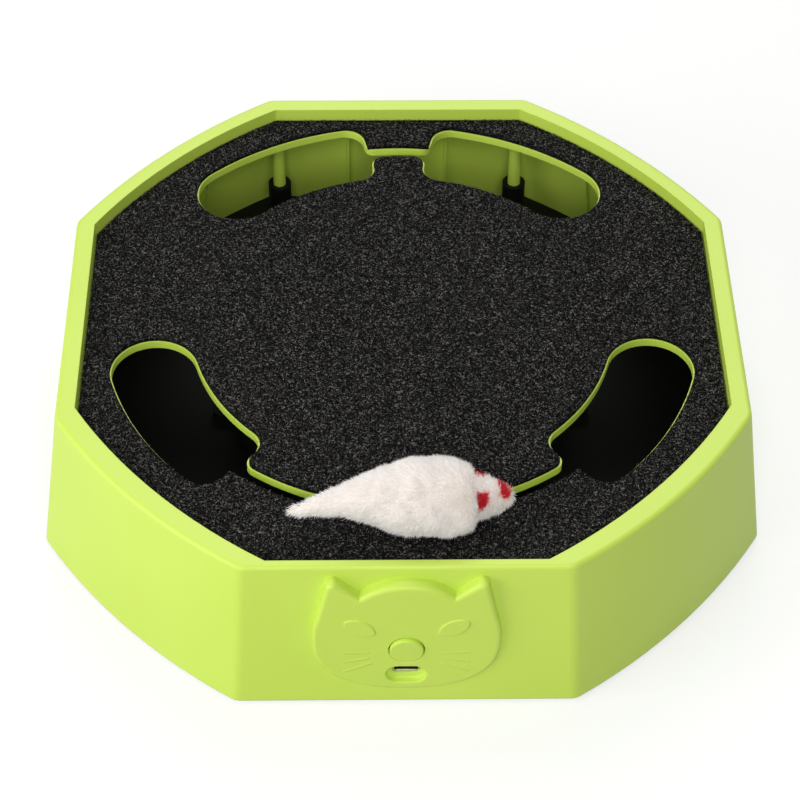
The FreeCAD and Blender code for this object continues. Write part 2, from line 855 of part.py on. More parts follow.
def base_plate():
    """Black plate with sleeves for the posts, the centre column, bracket posts and foot cups."""
    amount = wall_thickness + base_gap + (base_top_z - wall_foot_z) * lean
    outline_wire = outline(drawn_in(case_corners(), [amount] * 8), base_z)
    plate = Part.Face(outline_wire).extrude(Vector(0, 0, base_thickness))
    sleeve_top = base_top_z + sleeve_height
    solids = [plate]
    tools = []
    floor_z = base_top_z + sleeve_floor
    for spot in post_places():
        solids.append(cylinder(sleeve_radius, base_z, sleeve_top, spot.x, spot.y))
        tools.append(cylinder(post_radius + sleeve_bore_clearance, floor_z, sleeve_top + 1, spot.x, spot.y))
        tools.append(upright_hole(screw_radius + screw_clearance, base_z - 1, floor_z + 1, spot))
        tools.append(upright_hole(screw_head_radius + head_clearance, base_z - 1, base_z + screw_head_sink, spot))
    solids.append(cylinder(column_radius, base_z, shoulder_z, 0, axis_y))
    solids.append(cylinder(journal_radius, shoulder_z - 1, centre_boss_z, 0, axis_y))
    middle = Vector(0, axis_y, 0)
    tools.append(upright_hole(screw_radius + screw_clearance, base_z - 1, centre_boss_z + 1, middle))
    tools.append(upright_hole(screw_head_radius + head_clearance, base_z - 1, column_head_z(), middle))
    bracket_z = gearbox_top_z - bracket_drop - bracket_thickness
    for spot in bracket_screw_places():
        solids.append(cylinder(bracket_post_radius, base_z, bracket_z, spot.x, spot.y))
        tools.append(upright_hole(small_screw_radius, bracket_z - small_screw_bite, bracket_z + 1, spot))
    for spot in foot_places():
        cup_radius = foot_radius + foot_cup_wall
        solids.append(cylinder(cup_radius, wall_foot_z, base_top_z, spot.x, spot.y))
        tools.append(cylinder(foot_radius, wall_foot_z - 1, wall_foot_z + foot_cup_depth, spot.x, spot.y))
    for spot in track_lug_places() + holder_screw_places():
        tools.append(upright_hole(small_screw_radius, base_z + screw_hole_floor, base_top_z + 1, spot))
    return cut_all(fuse_all(solids), tools)


def column_head_z():
    """Seat of the column screw's head inside the column."""
    return shoulder_z - column_screw_drop


def rubber_feet():
    """Four round rubber pads in the cups under the base."""
    top = wall_foot_z + foot_cup_depth
    return [cylinder(foot_radius - foot_clearance, 0, top, spot.x, spot.y) for spot in foot_places()]


# Screws

def screw(seat, end, shank, head, head_height):
    """Screw with its head on a seat and its shank to an end point."""
    back = seat - (end - seat).normalize() * head_height
    return prism(shank, back, end).fuse(prism(head, back, seat)).removeSplitter()


def small_screw(seat, end):
    """Screw of the small size."""
    return screw(seat, end, small_screw_radius, small_head_radius, small_head_height)


def large_screw(spot, seat_z, end_z):
    """Upright screw of the large size, with its head below."""
    seat = Vector(spot.x, spot.y, seat_z)
    end = Vector(spot.x, spot.y, end_z)
    return screw(seat, end, screw_radius - screw_clearance, screw_head_radius, screw_head_height)


def screw_down(spot, seat_z, reach):
    """Small screw from above: its head on the seat, its shank downwards."""
    return small_screw(Vector(spot.x, spot.y, seat_z), Vector(spot.x, spot.y, seat_z - reach))


def case_screws():
    """One screw up through each sleeve into its post."""
    end_z = base_top_z + sleeve_floor + screw_bite
    return [large_screw(spot, base_z + screw_head_sink, end_z) for spot in post_places()]


def column_screw():
    """Long screw up through the column into the deck's centre boss."""
    return large_screw(Vector(0, axis_y, 0), column_head_z(), centre_boss_z + screw_bite)


# Turntable, ring gear and pinion

def involute(angle):
    """Involute function of a pressure angle in radians."""
    return math.tan(angle) - angle


def gear_prism(teeth, turn, low_z, high_z, x, y):
    """Spur gear with involute flanks; one tooth points at the turn angle."""
    pitch = gear_module * teeth / 2
    base = pitch * math.cos(math.radians(pressure_angle))
    tip = pitch + gear_module
    root = pitch - tooth_root_depth * gear_module
    start = max(root, base + 0.02)
    half_at_pitch = math.pi / (2 * teeth) - backlash / (4 * pitch)

    def half_angle(radius):
        pressure = math.acos(min(1.0, base / radius))
        return half_at_pitch + involute(math.radians(pressure_angle)) - involute(pressure)

    def point(radius, angle):
        return Vector(x + radius * math.cos(angle), y + radius * math.sin(angle), low_z)

    middle = (start + tip) / 2
    edges = []
    for i in range(teeth):
        centre = math.radians(turn) + 2 * math.pi * i / teeth
        gap = math.pi / teeth
        foot = half_angle(start)
        rise = [point(start, centre - foot), point(middle, centre - half_angle(middle)),
                point(tip, centre - half_angle(tip))]
        fall = [point(tip, centre + half_angle(tip)), point(middle, centre + half_angle(middle)),
                point(start, centre + foot)]
        before = point(root, centre - foot)
        after = point(root, centre + foot)
        if start > root + 0.001:
            edges.append(Part.LineSegment(before, rise[0]))
        edges.append(Part.Arc(*rise))
        edges.append(Part.LineSegment(rise[2], fall[0]))
        edges.append(Part.Arc(*fall))
        if start > root + 0.001:
            edges.append(Part.LineSegment(fall[2], after))
        next_root = point(root, centre + 2 * gap - foot)
        edges.append(Part.LineSegment(after, next_root))
    face = Part.Face(Part.Wire([edge.toShape() for edge in edges]))
    return face.extrude(Vector(0, 0, high_z - low_z))


def hinge_ears():
    """Two upright ears that hold the hinge pin, sloping down at the back."""
    inner = arm_width / 2 + ear_gap
    back_y = hinge_y + ear_foot - ear_radius
    top_z = hinge_z + ear_radius
    ears = []
    for side in (-1, 1):
        low_x, high_x = sorted((side * inner, side * (inner + ear_thickness)))
        stand = block(low_x, hinge_y - ear_radius, gear_z, high_x, back_y, hinge_z)
        top = rod(ear_radius, Vector(low_x, hinge_y, hinge_z), Vector(high_x, hinge_y, hinge_z))
        slope = [Vector(low_x, hinge_y, top_z), Vector(low_x, back_y, gear_top_z), Vector(low_x, back_y, top_z)]
        above = Part.Face(polygon(slope)).extrude(Vector(ear_thickness, 0, 0))
        ears.append(stand.fuse(top).removeSplitter().cut(above))
    return ears


def turntable():
    """Hub, web and ring gear in one moulding, with the hinge ears on top."""
    teeth = gear_prism(ring_teeth, -90, gear_z, gear_top_z, 0, axis_y)
    rim_inner = ring_radius - tooth_root_depth * gear_module - gear_rim_width
    above_web = gear_z + web_thickness
    teeth = teeth.cut(cylinder(rim_inner, above_web, gear_top_z + 1, 0, axis_y))
    hub = cylinder(hub_radius, hub_z, hub_top_z, 0, axis_y)
    hole_reach = (hub_radius + rim_inner) / 2
    tools = []
    for i in range(web_hole_count):
        spot = around(hole_reach, 360 * i / web_hole_count)
        tools.append(cylinder(web_hole_radius, gear_z - 1, above_web + 1, spot.x, spot.y))
    bore = journal_radius + running_clearance + bush_wall
    tools.append(cylinder(bore, hub_z - 1, hub_top_z + 1, 0, axis_y))
    disc = cut_all(fuse_all([teeth, hub]), tools)
    hole = pin_hole(hinge_pin_radius + pin_press_clearance, hinge_length() + 2)
    return fuse_all([disc] + hinge_ears()).cut(hole)


def hinge_length():
    """Width over both ears, which is the length of the pin."""
    return arm_width + 2 * ear_gap + 2 * ear_thickness


def pin_hole(radius, length):
    """Cylinder on the hinge pin's axis."""
    return rod(radius, Vector(-length / 2, hinge_y, hinge_z), Vector(length / 2, hinge_y, hinge_z))


def turntable_bush():
    """Plain bush pressed in the hub, running on the column's journal."""
    inner = journal_radius + running_clearance
    tube = cylinder(inner + bush_wall, hub_z, hub_top_z, 0, axis_y)
    return tube.cut(cylinder(inner, hub_z - 1, hub_top_z + 1, 0, axis_y))


def thrust_washer():
    """Washer on the column's shoulder, under the hub."""
    outer = cylinder(column_radius, shoulder_z, shoulder_z + washer_thickness, 0, axis_y)
    return outer.cut(cylinder(journal_radius + running_clearance, shoulder_z - 1, hub_z, 0, axis_y))


def hinge_pin():
    """Steel pin through both ears and the arm's barrel."""
    return pin_hole(hinge_pin_radius, hinge_length())


def gear_motor():
    """Small motor with a flat-sided can and a plate gearbox on top."""
    half_x = motor_can_width / 2
    half_y = motor_depth / 2
    flats = block(-half_x, motor_y - half_y, motor_z, half_x, motor_y + half_y, gearbox_z)
    can = cylinder(half_x, motor_z, gearbox_z, 0, motor_y).common(flats)
    gearbox = block(-half_x, motor_y - half_y, gearbox_z, half_x, motor_y + half_y, gearbox_top_z)
    boss = cylinder(motor_boss_radius, base_top_z, motor_z + 1, 0, motor_y)
    socket_radius = motor_shaft_radius + running_clearance
    socket = cylinder(socket_radius, gearbox_top_z - shaft_socket, gearbox_top_z + 1, 0, motor_y)
    return fuse_all([can, gearbox, boss]).cut(socket)


def motor_shaft():
    """Output shaft of the gearbox, with a flat where the pinion sits."""
    low = gearbox_top_z - shaft_socket + shaft_end_gap
    high = gearbox_top_z + shaft_reach
    shaft = cylinder(motor_shaft_radius, low, high, 0, motor_y)
    return shaft.cut(shaft_flat(gear_z - shaft_end_gap, high + 1, 0))


def shaft_flat(low_z, high_z, gap):
    """Block beside the shaft's flat."""
    y = motor_y + motor_shaft_radius - shaft_flat_depth + gap
    reach = 2 * motor_shaft_radius
    return block(-reach, y, low_z, reach, y + reach, high_z)


def drive_pinion():
    """Small gear on the motor's shaft, in mesh with the turntable's ring gear."""
    top = gear_top_z + pinion_rise
    turn = 90 + 180 / pinion_teeth
    gear = gear_prism(pinion_teeth, turn, gear_z, top, 0, motor_y)
    bore = cylinder(motor_shaft_radius + pinion_bore_clearance, gear_z - 1, top + 1, 0, motor_y)
    bore = bore.cut(shaft_flat(gear_z - 2, top + 2, pinion_bore_clearance))
    return gear.cut(bore)


def motor_bracket():
    """Plate with a window round the gearbox, screwed to two posts."""
    top = gearbox_top_z - bracket_drop
    low = top - bracket_thickness
    half_x = bracket_post_spacing / 2
    half_y = motor_depth / 2 + bracket_margin
    plate = block(-half_x, motor_y - half_y, low, half_x, motor_y + half_y, top)
    solids = [plate]
    tools = []
    for spot in bracket_screw_places():
        solids.append(cylinder(bracket_post_radius, low, top, spot.x, spot.y))
        tools.append(upright_hole(clear_hole, low - 1, top + 1, spot))
    window_x = motor_can_width / 2 + bracket_clearance
    window_y = motor_depth / 2 + bracket_clearance
    tools.append(block(-window_x, motor_y - window_y, low - 1, window_x, motor_y + window_y, top + 1))
    return cut_all(fuse_all(solids), tools)


def bracket_screws():
    """Screws of the motor bracket."""
    top = gearbox_top_z - bracket_drop
    reach = bracket_thickness + small_screw_bite - screw_end_gap
    return [screw_down(spot, top, reach) for spot in bracket_screw_places()]


# Undulating track

def track_height(angle):
    """Height of the track at an angle round the axis: high where there is a slot, low under the sides."""
    away = abs((angle + 90 + 180) % 360 - 180)
    front_end = front_slot_half + plateau_margin
    low_start = front_slot_half + lobe_span
    low_end = 180 - back_slot_half - lobe_span
    back_start = 180 - back_slot_half
    if away <= front_end or away >= back_start:
        return track_top_z
    if away < low_start:
        share = (away - front_end) / (low_start - front_end)
    elif away <= low_end:
        share = 1.0
    else:
        share = (back_start - away) / (back_start - low_end)
    return track_top_z - track_fall * (1 - math.cos(math.pi * share)) / 2


def track_solid(inner, outer, low_z, drop):
    """Closed ring whose top follows the track's height, lowered by a drop."""
    faces = []
    for half in range(2):
        begin = -90 + 180 * half
        angles = [begin + 180 * i / track_steps for i in range(track_steps + 1)]
        tops = []
        for radius in (inner, outer):
            curve = Part.BSplineCurve()
            curve.interpolate([around(radius, angle, track_height(angle) - drop) for angle in angles])
            tops.append(curve.toShape())
        arcs = []
        for radius in (inner, outer):
            points = [around(radius, begin + turn, low_z) for turn in (0, 90, 180)]
            arcs.append(Part.Arc(*points).toShape())
        for one, other in ((tops[0], tops[1]), (arcs[0], arcs[1]), (arcs[0], tops[0]), (arcs[1], tops[1])):
            faces += Part.makeRuledSurface(one, other).Faces
    shell = Part.makeShell(faces)
    shell.sewShape()
    solid = Part.makeSolid(shell)
    if solid.Volume < 0:
        solid.reverse()
    return solid


def track_ring():
    """Hollow moulded ring that lifts the arm at the slots and lets it down under the sides."""
    ring = track_solid(track_inner_radius, track_outer_radius, base_top_z, 0)
    inner = track_inner_radius + track_wall
    outer = track_outer_radius - track_wall
    hollow = track_solid(inner, outer, base_top_z - 1, track_wall)
    ring = ring.cut(hollow)
    lugs = []
    holes = []
    lug_top = base_top_z + track_lug_height
    outside = cylinder(track_outer_radius - track_wall / 2, base_top_z - 1, lug_top + 1, 0, axis_y)
    for spot in track_lug_places():
        inwards = (Vector(0, axis_y, 0) - spot).normalize() * (track_lug_radius + 1)
        lug = cylinder(track_lug_radius, base_top_z, lug_top, spot.x, spot.y)
        side = Vector(-inwards.y, inwards.x, 0).normalize() * track_lug_radius
        plan = [spot - side, spot + side, spot + side + inwards, spot - side + inwards]
        plan = [Vector(point.x, point.y, base_top_z) for point in plan]
        web = Part.Face(polygon(plan)).extrude(Vector(0, 0, track_lug_height))
        lugs.append(lug.fuse(web).removeSplitter().cut(outside))
        holes.append(upright_hole(clear_hole, base_top_z - 1, lug_top + 1, spot))
    return cut_all(fuse_all([ring] + lugs), holes)


def track_screws():
    """Screws through the track's lugs into the base."""
    top = base_top_z + track_lug_height
    reach = track_lug_height + base_thickness - screw_hole_floor - screw_end_gap
    return [screw_down(spot, top, reach) for spot in track_lug_places()]


# Lift arm, roller and stem

def lift_arm():
    """Channel-shaped arm with a hinge barrel, a fork for the roller and a boss for the stem."""
    near = arm_width / 2
    far = arm_tip_width / 2
    plan = [
        Vector(-near, hinge_y, arm_z), Vector(near, hinge_y, arm_z),
        Vector(far, stem_y, arm_z), Vector(-far, stem_y, arm_z),
    ]
    beam = Part.Face(polygon(plan)).extrude(Vector(0, 0, arm_height))
    inside = [
        Vector(-near + arm_skin, hinge_y - arm_barrel_radius, arm_z - 1),
        Vector(near - arm_skin, hinge_y - arm_barrel_radius, arm_z - 1),
        Vector(far - arm_skin, stem_y + stem_boss_radius, arm_z - 1),
        Vector(-far + arm_skin, stem_y + stem_boss_radius, arm_z - 1),
    ]
    channel = Part.Face(polygon(inside)).extrude(Vector(0, 0, arm_height + 1 - arm_skin))
    beam = beam.cut(channel)
    barrel = rod(arm_barrel_radius, Vector(-near, hinge_y, hinge_z), Vector(near, hinge_y, hinge_z))
    boss = cylinder(stem_boss_radius, arm_z - stem_boss_drop, arm_top_z + stem_boss_rise, 0, stem_y)
    solids = [beam, barrel, boss]
    roller_y = axis_y - roller_reach
    inner = roller_width / 2 + roller_gap
    for side in (-1, 1):
        low_y, high_y = sorted((roller_y + side * inner, roller_y + side * (inner + fork_thickness)))
        ear = block(-fork_width / 2, low_y, axle_z, fork_width / 2, high_y, arm_top_z - arm_skin / 2)
        tip = rod(fork_tip, Vector(0, low_y, axle_z), Vector(0, high_y, axle_z))
        narrow = block(-fork_tip, low_y, axle_z, fork_tip, high_y, arm_z)
        ear = ear.cut(block(-fork_width, low_y - 1, axle_z - 1, fork_width, high_y + 1, arm_z))
        solids += [ear, narrow, tip]
    arm = fuse_all(solids)
    half = inner + fork_thickness + 1
    axle_end = Vector(0, roller_y - half, axle_z)
    tools = [
        pin_hole(hinge_pin_radius + hinge_pin_clearance, hinge_length()),
        rod(axle_radius + pin_press_clearance, axle_end, axle_end + Vector(0, 2 * half, 0)),
        cylinder(stem_radius + pin_press_clearance, stem_foot_z, deck_z, 0, stem_y),
    ]
    return cut_all(arm, tools)


def track_roller():
    """Roller that runs on the track, with rounded edges."""
    roller_y = axis_y - roller_reach
    half = roller_width / 2
    wheel = rod(roller_radius, Vector(0, roller_y - half, axle_z), Vector(0, roller_y + half, axle_z))
    wheel = wheel.makeChamfer(roller_chamfer, [edge for edge in wheel.Edges if edge.Closed])
    reach = half + 1
    bore_radius = axle_radius + axle_clearance
    return wheel.cut(rod(bore_radius, Vector(0, roller_y - reach, axle_z), Vector(0, roller_y + reach, axle_z)))


def roller_axle():
    """Pin through the fork and the roller."""
    roller_y = axis_y - roller_reach
    reach = roller_width / 2 + roller_gap + fork_thickness
    return rod(axle_radius, Vector(0, roller_y - reach, axle_z), Vector(0, roller_y + reach, axle_z))


def mouse_stem():
    """Steel stem from the arm's boss up through the slot into the mouse."""
    return cylinder(stem_radius, stem_foot_z, stem_top_z, 0, stem_y)


def stem_hole():
    """Bore for the stem in the plug and in the mouse's belly."""
    return cylinder(stem_radius + pin_press_clearance, felt_top_z, stem_top_z, 0, stem_y)


def plug_shape():
    """Outside of the plug in the mouse's belly."""
    low = felt_top_z + plug_lift
    flange = cylinder(plug_radius, low, low + plug_flange, 0, stem_y)
    barrel = cylinder(plug_barrel_radius, low, stem_top_z + 1, 0, stem_y)
    return flange.fuse(barrel).removeSplitter()


def stem_plug():
    """Plug on the stem that the mouse is sewn to."""
    return plug_shape().cut(stem_hole())


# Plush mouse

def mouse_section(along, half_width, low, high):
    """Closed section across the mouse, of four arcs, at a distance along it."""
    middle = (low + high) / 2
    ring = []
    for i in range(8):
        turn = math.pi * i / 4
        ring.append(Vector(along, half_width * math.cos(turn), middle + (high - low) / 2 * math.sin(turn)))
    edges = [Part.Arc(ring[i], ring[i + 1], ring[(i + 2) % 8]).toShape() for i in range(0, 8, 2)]
    return Part.Wire(edges)


def mouse_loft(start, length, half_width, height, lift, shares, grow=0.0):
    """Smooth solid through sections given as shares of a length, a half width and a height."""
    wires = []
    for place, width, bottom, top in shares:
        along = start + length * place + grow * (2 * place - 1)
        low = lift + height * bottom - grow
        high = lift + height * top + grow
        wires.append(mouse_section(along, half_width * width + grow, low, high))
    return Part.makeLoft(wires, True, False)


def place_mouse(shape):
    """Turn a mouse piece to its yaw and set it over the slot, just clear of the felt."""
    shape.rotate(Vector(0, 0, 0), Vector(0, 0, 1), mouse_yaw)
    shape.translate(Vector(0, stem_y - mouse_outset, felt_top_z + mouse_hover))
    return shape


def body_loft():
    """Plump body, fullest at the shoulders and drawn up to the tail end."""
    shares = [
        (0.00, 0.39, 0.31, 0.65), (0.20, 0.55, 0.27, 0.84), (0.35, 0.77, 0.16, 0.91), (0.50, 0.96, 0.06, 0.99),
        (0.70, 1.00, 0.00, 0.97), (0.88, 0.95, 0.01, 0.92), (1.00, 0.66, 0.08, 0.82),
    ]
    return mouse_loft(-body_back, body_length, body_half_width, body_height, 0, shares)


def mouse_body():
    """Stuffed body, hollowed where the plug and stem sit."""
    return place_mouse(body_loft()).cut(plug_shape()).cut(stem_hole())


def head_loft(grow=0.0):
    """Tapered head that runs out to the snout."""
    shares = [
        (0.00, 0.95, 0.02, 0.98), (0.27, 1.00, 0.00, 1.00), (0.40, 0.90, 0.06, 0.93),
        (0.62, 0.76, 0.12, 0.86), (0.85, 0.53, 0.20, 0.70), (1.00, 0.28, 0.38, 0.63),
    ]
    return mouse_loft(head_start, head_length, head_half_width, head_height, head_lift, shares, grow)


def mouse_head():
    """Head, cut back where the body covers it."""
    return place_mouse(head_loft()).cut(place_mouse(body_loft()))


def mouse_tail():
    """Flat stub at the tail end, cut back where the body covers it."""
    shares = [
        (0.00, 0.80, 0.15, 0.85), (0.22, 0.94, 0.02, 0.92), (0.50, 0.88, 0.04, 0.72),
        (0.80, 0.75, -0.10, 0.46), (1.00, 0.40, -0.10, 0.22),
    ]
    stub = mouse_loft(-tail_start, -tail_length, tail_half_width, tail_height, tail_lift, shares)
    return place_mouse(stub).cut(place_mouse(body_loft()))


def head_patch(along, across, height, radius):
    """Thin patch of coloured pile that follows the head's skin."""
    ball = place_mouse(Part.makeSphere(radius, Vector(along, across, height)))
    skin = place_mouse(head_loft(patch_thickness)).cut(place_mouse(head_loft()))
    return skin.common(ball).cut(place_mouse(body_loft()))


def mouse_nose():
    """Red patch over the tip of the snout."""
    return head_patch(nose_patch_along, 0, head_lift + nose_patch_rise, nose_patch_radius)


def mouse_eyes():
    """Two red patches on the sides of the head."""
    turn = math.radians(eye_patch_turn)
    reach = eye_patch_half_width * math.cos(turn)
    height = head_lift + eye_patch_middle + eye_patch_half_height * math.sin(turn)
    return [head_patch(eye_patch_along, side * reach, height, eye_patch_radius) for side in (-1, 1)]


# Board, socket, switch and battery

def circuit_board():
    """Upright board on the front wall's bosses."""
    low = wall_foot_z + board_low
    high = wall_foot_z + board_high
    back = board_y + board_thickness
    board = block(-board_half_width, board_y, low, board_half_width, back, high)
    places = board_screw_places()
    holes = [screw_hole(clear_hole, Vector(x, board_y - 1, z), Vector(x, back + 1, z)) for x, z in places]
    return cut_all(board, holes)


def board_screws():
    """Four screws that hold the board, from behind."""
    seat_y = board_y + board_thickness
    end_y = board_y - small_screw_bite + screw_end_gap
    return [small_screw(Vector(x, seat_y, z), Vector(x, end_y, z)) for x, z in board_screw_places()]


def charging_socket():
    """Metal shell of the charging socket with its tongue, behind the mouth slot."""
    z = wall_foot_z + mouth_height
    front = face_y(z) + mouth_depth + port_recess
    shell = stadium_along_y(0, z, socket_width, socket_thickness, front, board_y)
    inner_length = socket_width - 2 * socket_shell
    inner_width = socket_thickness - 2 * socket_shell
    back = board_y - socket_tongue_margin
    shell = shell.cut(stadium_along_y(0, z, inner_length, inner_width, front - 1, back))
    half_x = inner_length / 2 - socket_tongue_margin
    half_z = socket_tongue / 2
    tongue = block(-half_x, front + socket_tongue_margin, z - half_z, half_x, board_y, z + half_z)
    return fuse_all([shell, tongue])


def button_switch():
    """Square push switch on the board, behind the nose."""
    z = wall_foot_z + nose_height
    half = switch_side / 2
    body = block(-half, board_y - switch_height, z - half, half, board_y, z + half)
    start = Vector(0, board_y - switch_height - 1, z)
    end = Vector(0, board_y - switch_floor, z)
    return body.cut(rod(plunger_radius + running_clearance, start, end))


def switch_plunger():
    """Plunger of the switch, pushed in by the nose button."""
    z = wall_foot_z + nose_height
    end = board_y - switch_floor - nose_travel - plunger_end_gap
    return rod(plunger_radius, Vector(0, plunger_tip_y(), z), Vector(0, end, z))


def battery_cell():
    """Round cell with its raised positive cap."""
    middle = battery_middle()
    half = cell_length / 2
    body = rod(cell_radius, middle - Vector(half, 0, 0), middle + Vector(half - cell_cap_height, 0, 0))
    cap = rod(cell_cap_radius, middle, middle + Vector(half, 0, 0))
    return body.fuse(cap).removeSplitter()


def battery_holder():
    """Open trough for the cell, with end walls and two screw lugs."""
    middle = battery_middle()
    half_x = cell_length / 2 + contact_thickness + holder_wall
    half_y = cell_radius + holder_wall
    trough_radius = cell_radius + cell_clearance
    top = base_top_z + holder_height
    solids = [block(-half_x, middle.y - half_y, base_top_z, half_x, middle.y + half_y, top)]
    end_x = cell_length / 2 + contact_thickness
    left, right = (Vector(-end_x, middle.y + side * trough_radius, middle.z) for side in (-1, 1))
    above = Vector(0, 0, top)
    edges = [
        Part.Arc(left, middle - Vector(end_x, 0, trough_radius), right),
        Part.LineSegment(right, right + above),
        Part.LineSegment(right + above, left + above),
        Part.LineSegment(left + above, left),
    ]
    trough = Part.Face(Part.Wire([edge.toShape() for edge in edges]))
    tools = [trough.extrude(Vector(2 * end_x, 0, 0))]
    for spot in holder_screw_places():
        lug_radius = small_head_radius + holder_lug_margin
        lug_top = base_top_z + holder_lug_height
        solids.append(cylinder(lug_radius, base_top_z, lug_top, spot.x, spot.y))
        tools.append(upright_hole(clear_hole, base_top_z - 1, lug_top + 1, spot))
    return cut_all(fuse_all(solids), tools)


def battery_contacts():
    """Thin metal leaves at both ends of the cell."""
    middle = battery_middle()
    leaves = []
    half = contact_half_width
    top = middle.z + contact_rise
    for side in (-1, 1):
        low_x, high_x = sorted((side * cell_length / 2, side * (cell_length / 2 + contact_thickness)))
        leaves.append(block(low_x, middle.y - half, middle.z - half, high_x, middle.y + half, top))
    return leaves


def holder_screws():
    """Screws of the battery holder."""
    top = base_top_z + holder_lug_height
    reach = holder_lug_height + base_thickness - screw_hole_floor - screw_end_gap
    return [screw_down(spot, top, reach) for spot in holder_screw_places()]


NODES = [
    case_wall, deck, felt_pad, cat_face_panel, nose_button,
    base_plate, rubber_feet, case_screws, column_screw,
    turntable, turntable_bush, thrust_washer, hinge_pin,
    gear_motor, motor_shaft, drive_pinion, motor_bracket, bracket_screws,
    track_ring, track_screws,
    lift_arm, track_roller, roller_axle, mouse_stem, stem_plug,
    mouse_body, mouse_head, mouse_tail, mouse_nose, mouse_eyes,
    circuit_board, board_screws, charging_socket, button_switch, switch_plunger,
    battery_cell, battery_holder, battery_contacts, holder_screws,
]


def main():
    os.makedirs("parts", exist_ok=True)
    for make in NODES:
        made = make()
        solids = []
        for piece in made if isinstance(made, list) else [made]:
            solids += piece.Solids
        shape = solids[0] if len(solids) == 1 else Part.makeCompound(solids)
        shape.exportStep("parts/" + make.__name__ + ".step")
        box = shape.BoundBox
        size = "%.1f x %.1f x %.1f mm" % (box.XLength, box.YLength, box.ZLength)
        print(make.__name__, len(solids), "solids,", size, "valid", shape.isValid(), "volume %.0f" % shape.Volume)


main()
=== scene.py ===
# %% [markdown]
# This lesson dresses the CAD model of an automatic cat toy. A plush mouse is carried
# round on top of a felt deck, over a green moulded case with a cat's head on its front.
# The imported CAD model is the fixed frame: every piece made here sits where its solid is.

# %% Load the frame
import math

import bmesh
import bpy
import numpy as np
from mathutils import Matrix, Vector, geometry, noise


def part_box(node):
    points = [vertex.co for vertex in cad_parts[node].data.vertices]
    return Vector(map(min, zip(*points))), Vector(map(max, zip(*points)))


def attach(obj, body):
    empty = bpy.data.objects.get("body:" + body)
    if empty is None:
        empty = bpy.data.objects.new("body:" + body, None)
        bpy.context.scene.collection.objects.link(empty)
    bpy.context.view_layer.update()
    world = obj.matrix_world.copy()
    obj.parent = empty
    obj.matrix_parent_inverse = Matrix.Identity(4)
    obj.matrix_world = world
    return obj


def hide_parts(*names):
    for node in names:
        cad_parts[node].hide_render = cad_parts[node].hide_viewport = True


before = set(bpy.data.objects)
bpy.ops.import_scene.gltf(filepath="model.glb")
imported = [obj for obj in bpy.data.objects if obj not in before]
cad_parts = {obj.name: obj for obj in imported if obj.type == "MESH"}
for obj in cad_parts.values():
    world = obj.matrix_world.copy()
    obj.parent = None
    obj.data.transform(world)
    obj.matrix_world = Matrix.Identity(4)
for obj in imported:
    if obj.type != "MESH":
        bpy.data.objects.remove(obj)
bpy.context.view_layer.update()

MM = 0.001
scene = bpy.context.scene
print("CAD nodes:", len(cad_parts))


def hand_over(piece, body, slot, *nodes):
    """Hangs a piece on the body it rides and hides the CAD nodes it replaces; the slot is not used."""
    if nodes:
        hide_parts(*nodes)
    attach(piece, body)


def set_all(thing, **settings):
    """Sets several properties of one thing."""
    for name, value in settings.items():
        setattr(thing, name, value)


# %% [markdown]
# Colours are written as sRGB hex and turned into the linear light that Cycles works with.
# One function adds a node with its settings and links; every material is built with it.

# %% Helpers for materials


def paint(code):
    """Linear colour of an sRGB hex code."""
    parts = [int(code[i:i + 2], 16) / 255 for i in (1, 3, 5)]
    linear = [part / 12.92 if part <= 0.04045 else ((part + 0.055) / 1.055) ** 2.4 for part in parts]
    return (*linear, 1.0)


def add(tree, kind, inputs=(), **settings):
    """Adds a node to a tree, with its settings, and its inputs set or linked."""
    made = tree.nodes.new(kind)
    set_all(made, **settings)
    for key, value in dict(inputs).items():
        if isinstance(value, bpy.types.NodeSocket):
            tree.links.new(value, made.inputs[key])
        else:
            made.inputs[key].default_value = value
    return made


def maths(tree, operation, *values):
    """Result of one operation on numbers or sockets."""
    return add(tree, "ShaderNodeMath", enumerate(values), operation=operation).outputs["Value"]


def mapped(tree, value, low, high, start=0.0, end=1.0):
    """Value that runs from start to end, carried over to run from low to high."""
    spans = {"Value": value, "From Min": start, "From Max": end, "To Min": low, "To Max": high}
    return add(tree, "ShaderNodeMapRange", spans).outputs["Result"]


def finish_of(name, roughness, metallic=0.0, shine=0.5):
    """New material, with its tree and its shader. A shine of 0.5 is that of a common plastic."""
    material = bpy.data.materials.new(name)
    material.use_nodes = True
    shader = material.node_tree.nodes["Principled BSDF"]
    for key, value in {"Roughness": roughness, "Metallic": metallic, "Specular IOR Level": shine}.items():
        shader.inputs[key].default_value = value
    return material, material.node_tree, shader


def coloured(tree, shader, factor, *stops):
    """Gives a shader the colour that runs through stops, each a place from 0 to 1 and a hex code."""
    made = add(tree, "ShaderNodeValToRGB", {"Fac": factor})
    elements = made.color_ramp.elements
    while len(elements) < len(stops):
        elements.new(0.5)
    for element, (place, code) in zip(elements, stops):
        set_all(element, position=place, color=paint(code))
    tree.links.new(made.outputs["Color"], shader.inputs["Base Color"])
    return made.outputs["Color"]


def grain(tree, size_mm, detail=2.0, stretch=(1.0, 1.0, 1.0)):
    """Noise on the object's own coordinates, with features of a real size in millimetres."""
    place = add(tree, "ShaderNodeTexCoord").outputs["Object"]
    place = add(tree, "ShaderNodeMapping", {"Vector": place, "Scale": stretch}).outputs["Vector"]
    waves = {"Vector": place, "Scale": 1 / (size_mm * MM), "Detail": detail}
    return add(tree, "ShaderNodeTexNoise", waves).outputs["Fac"]


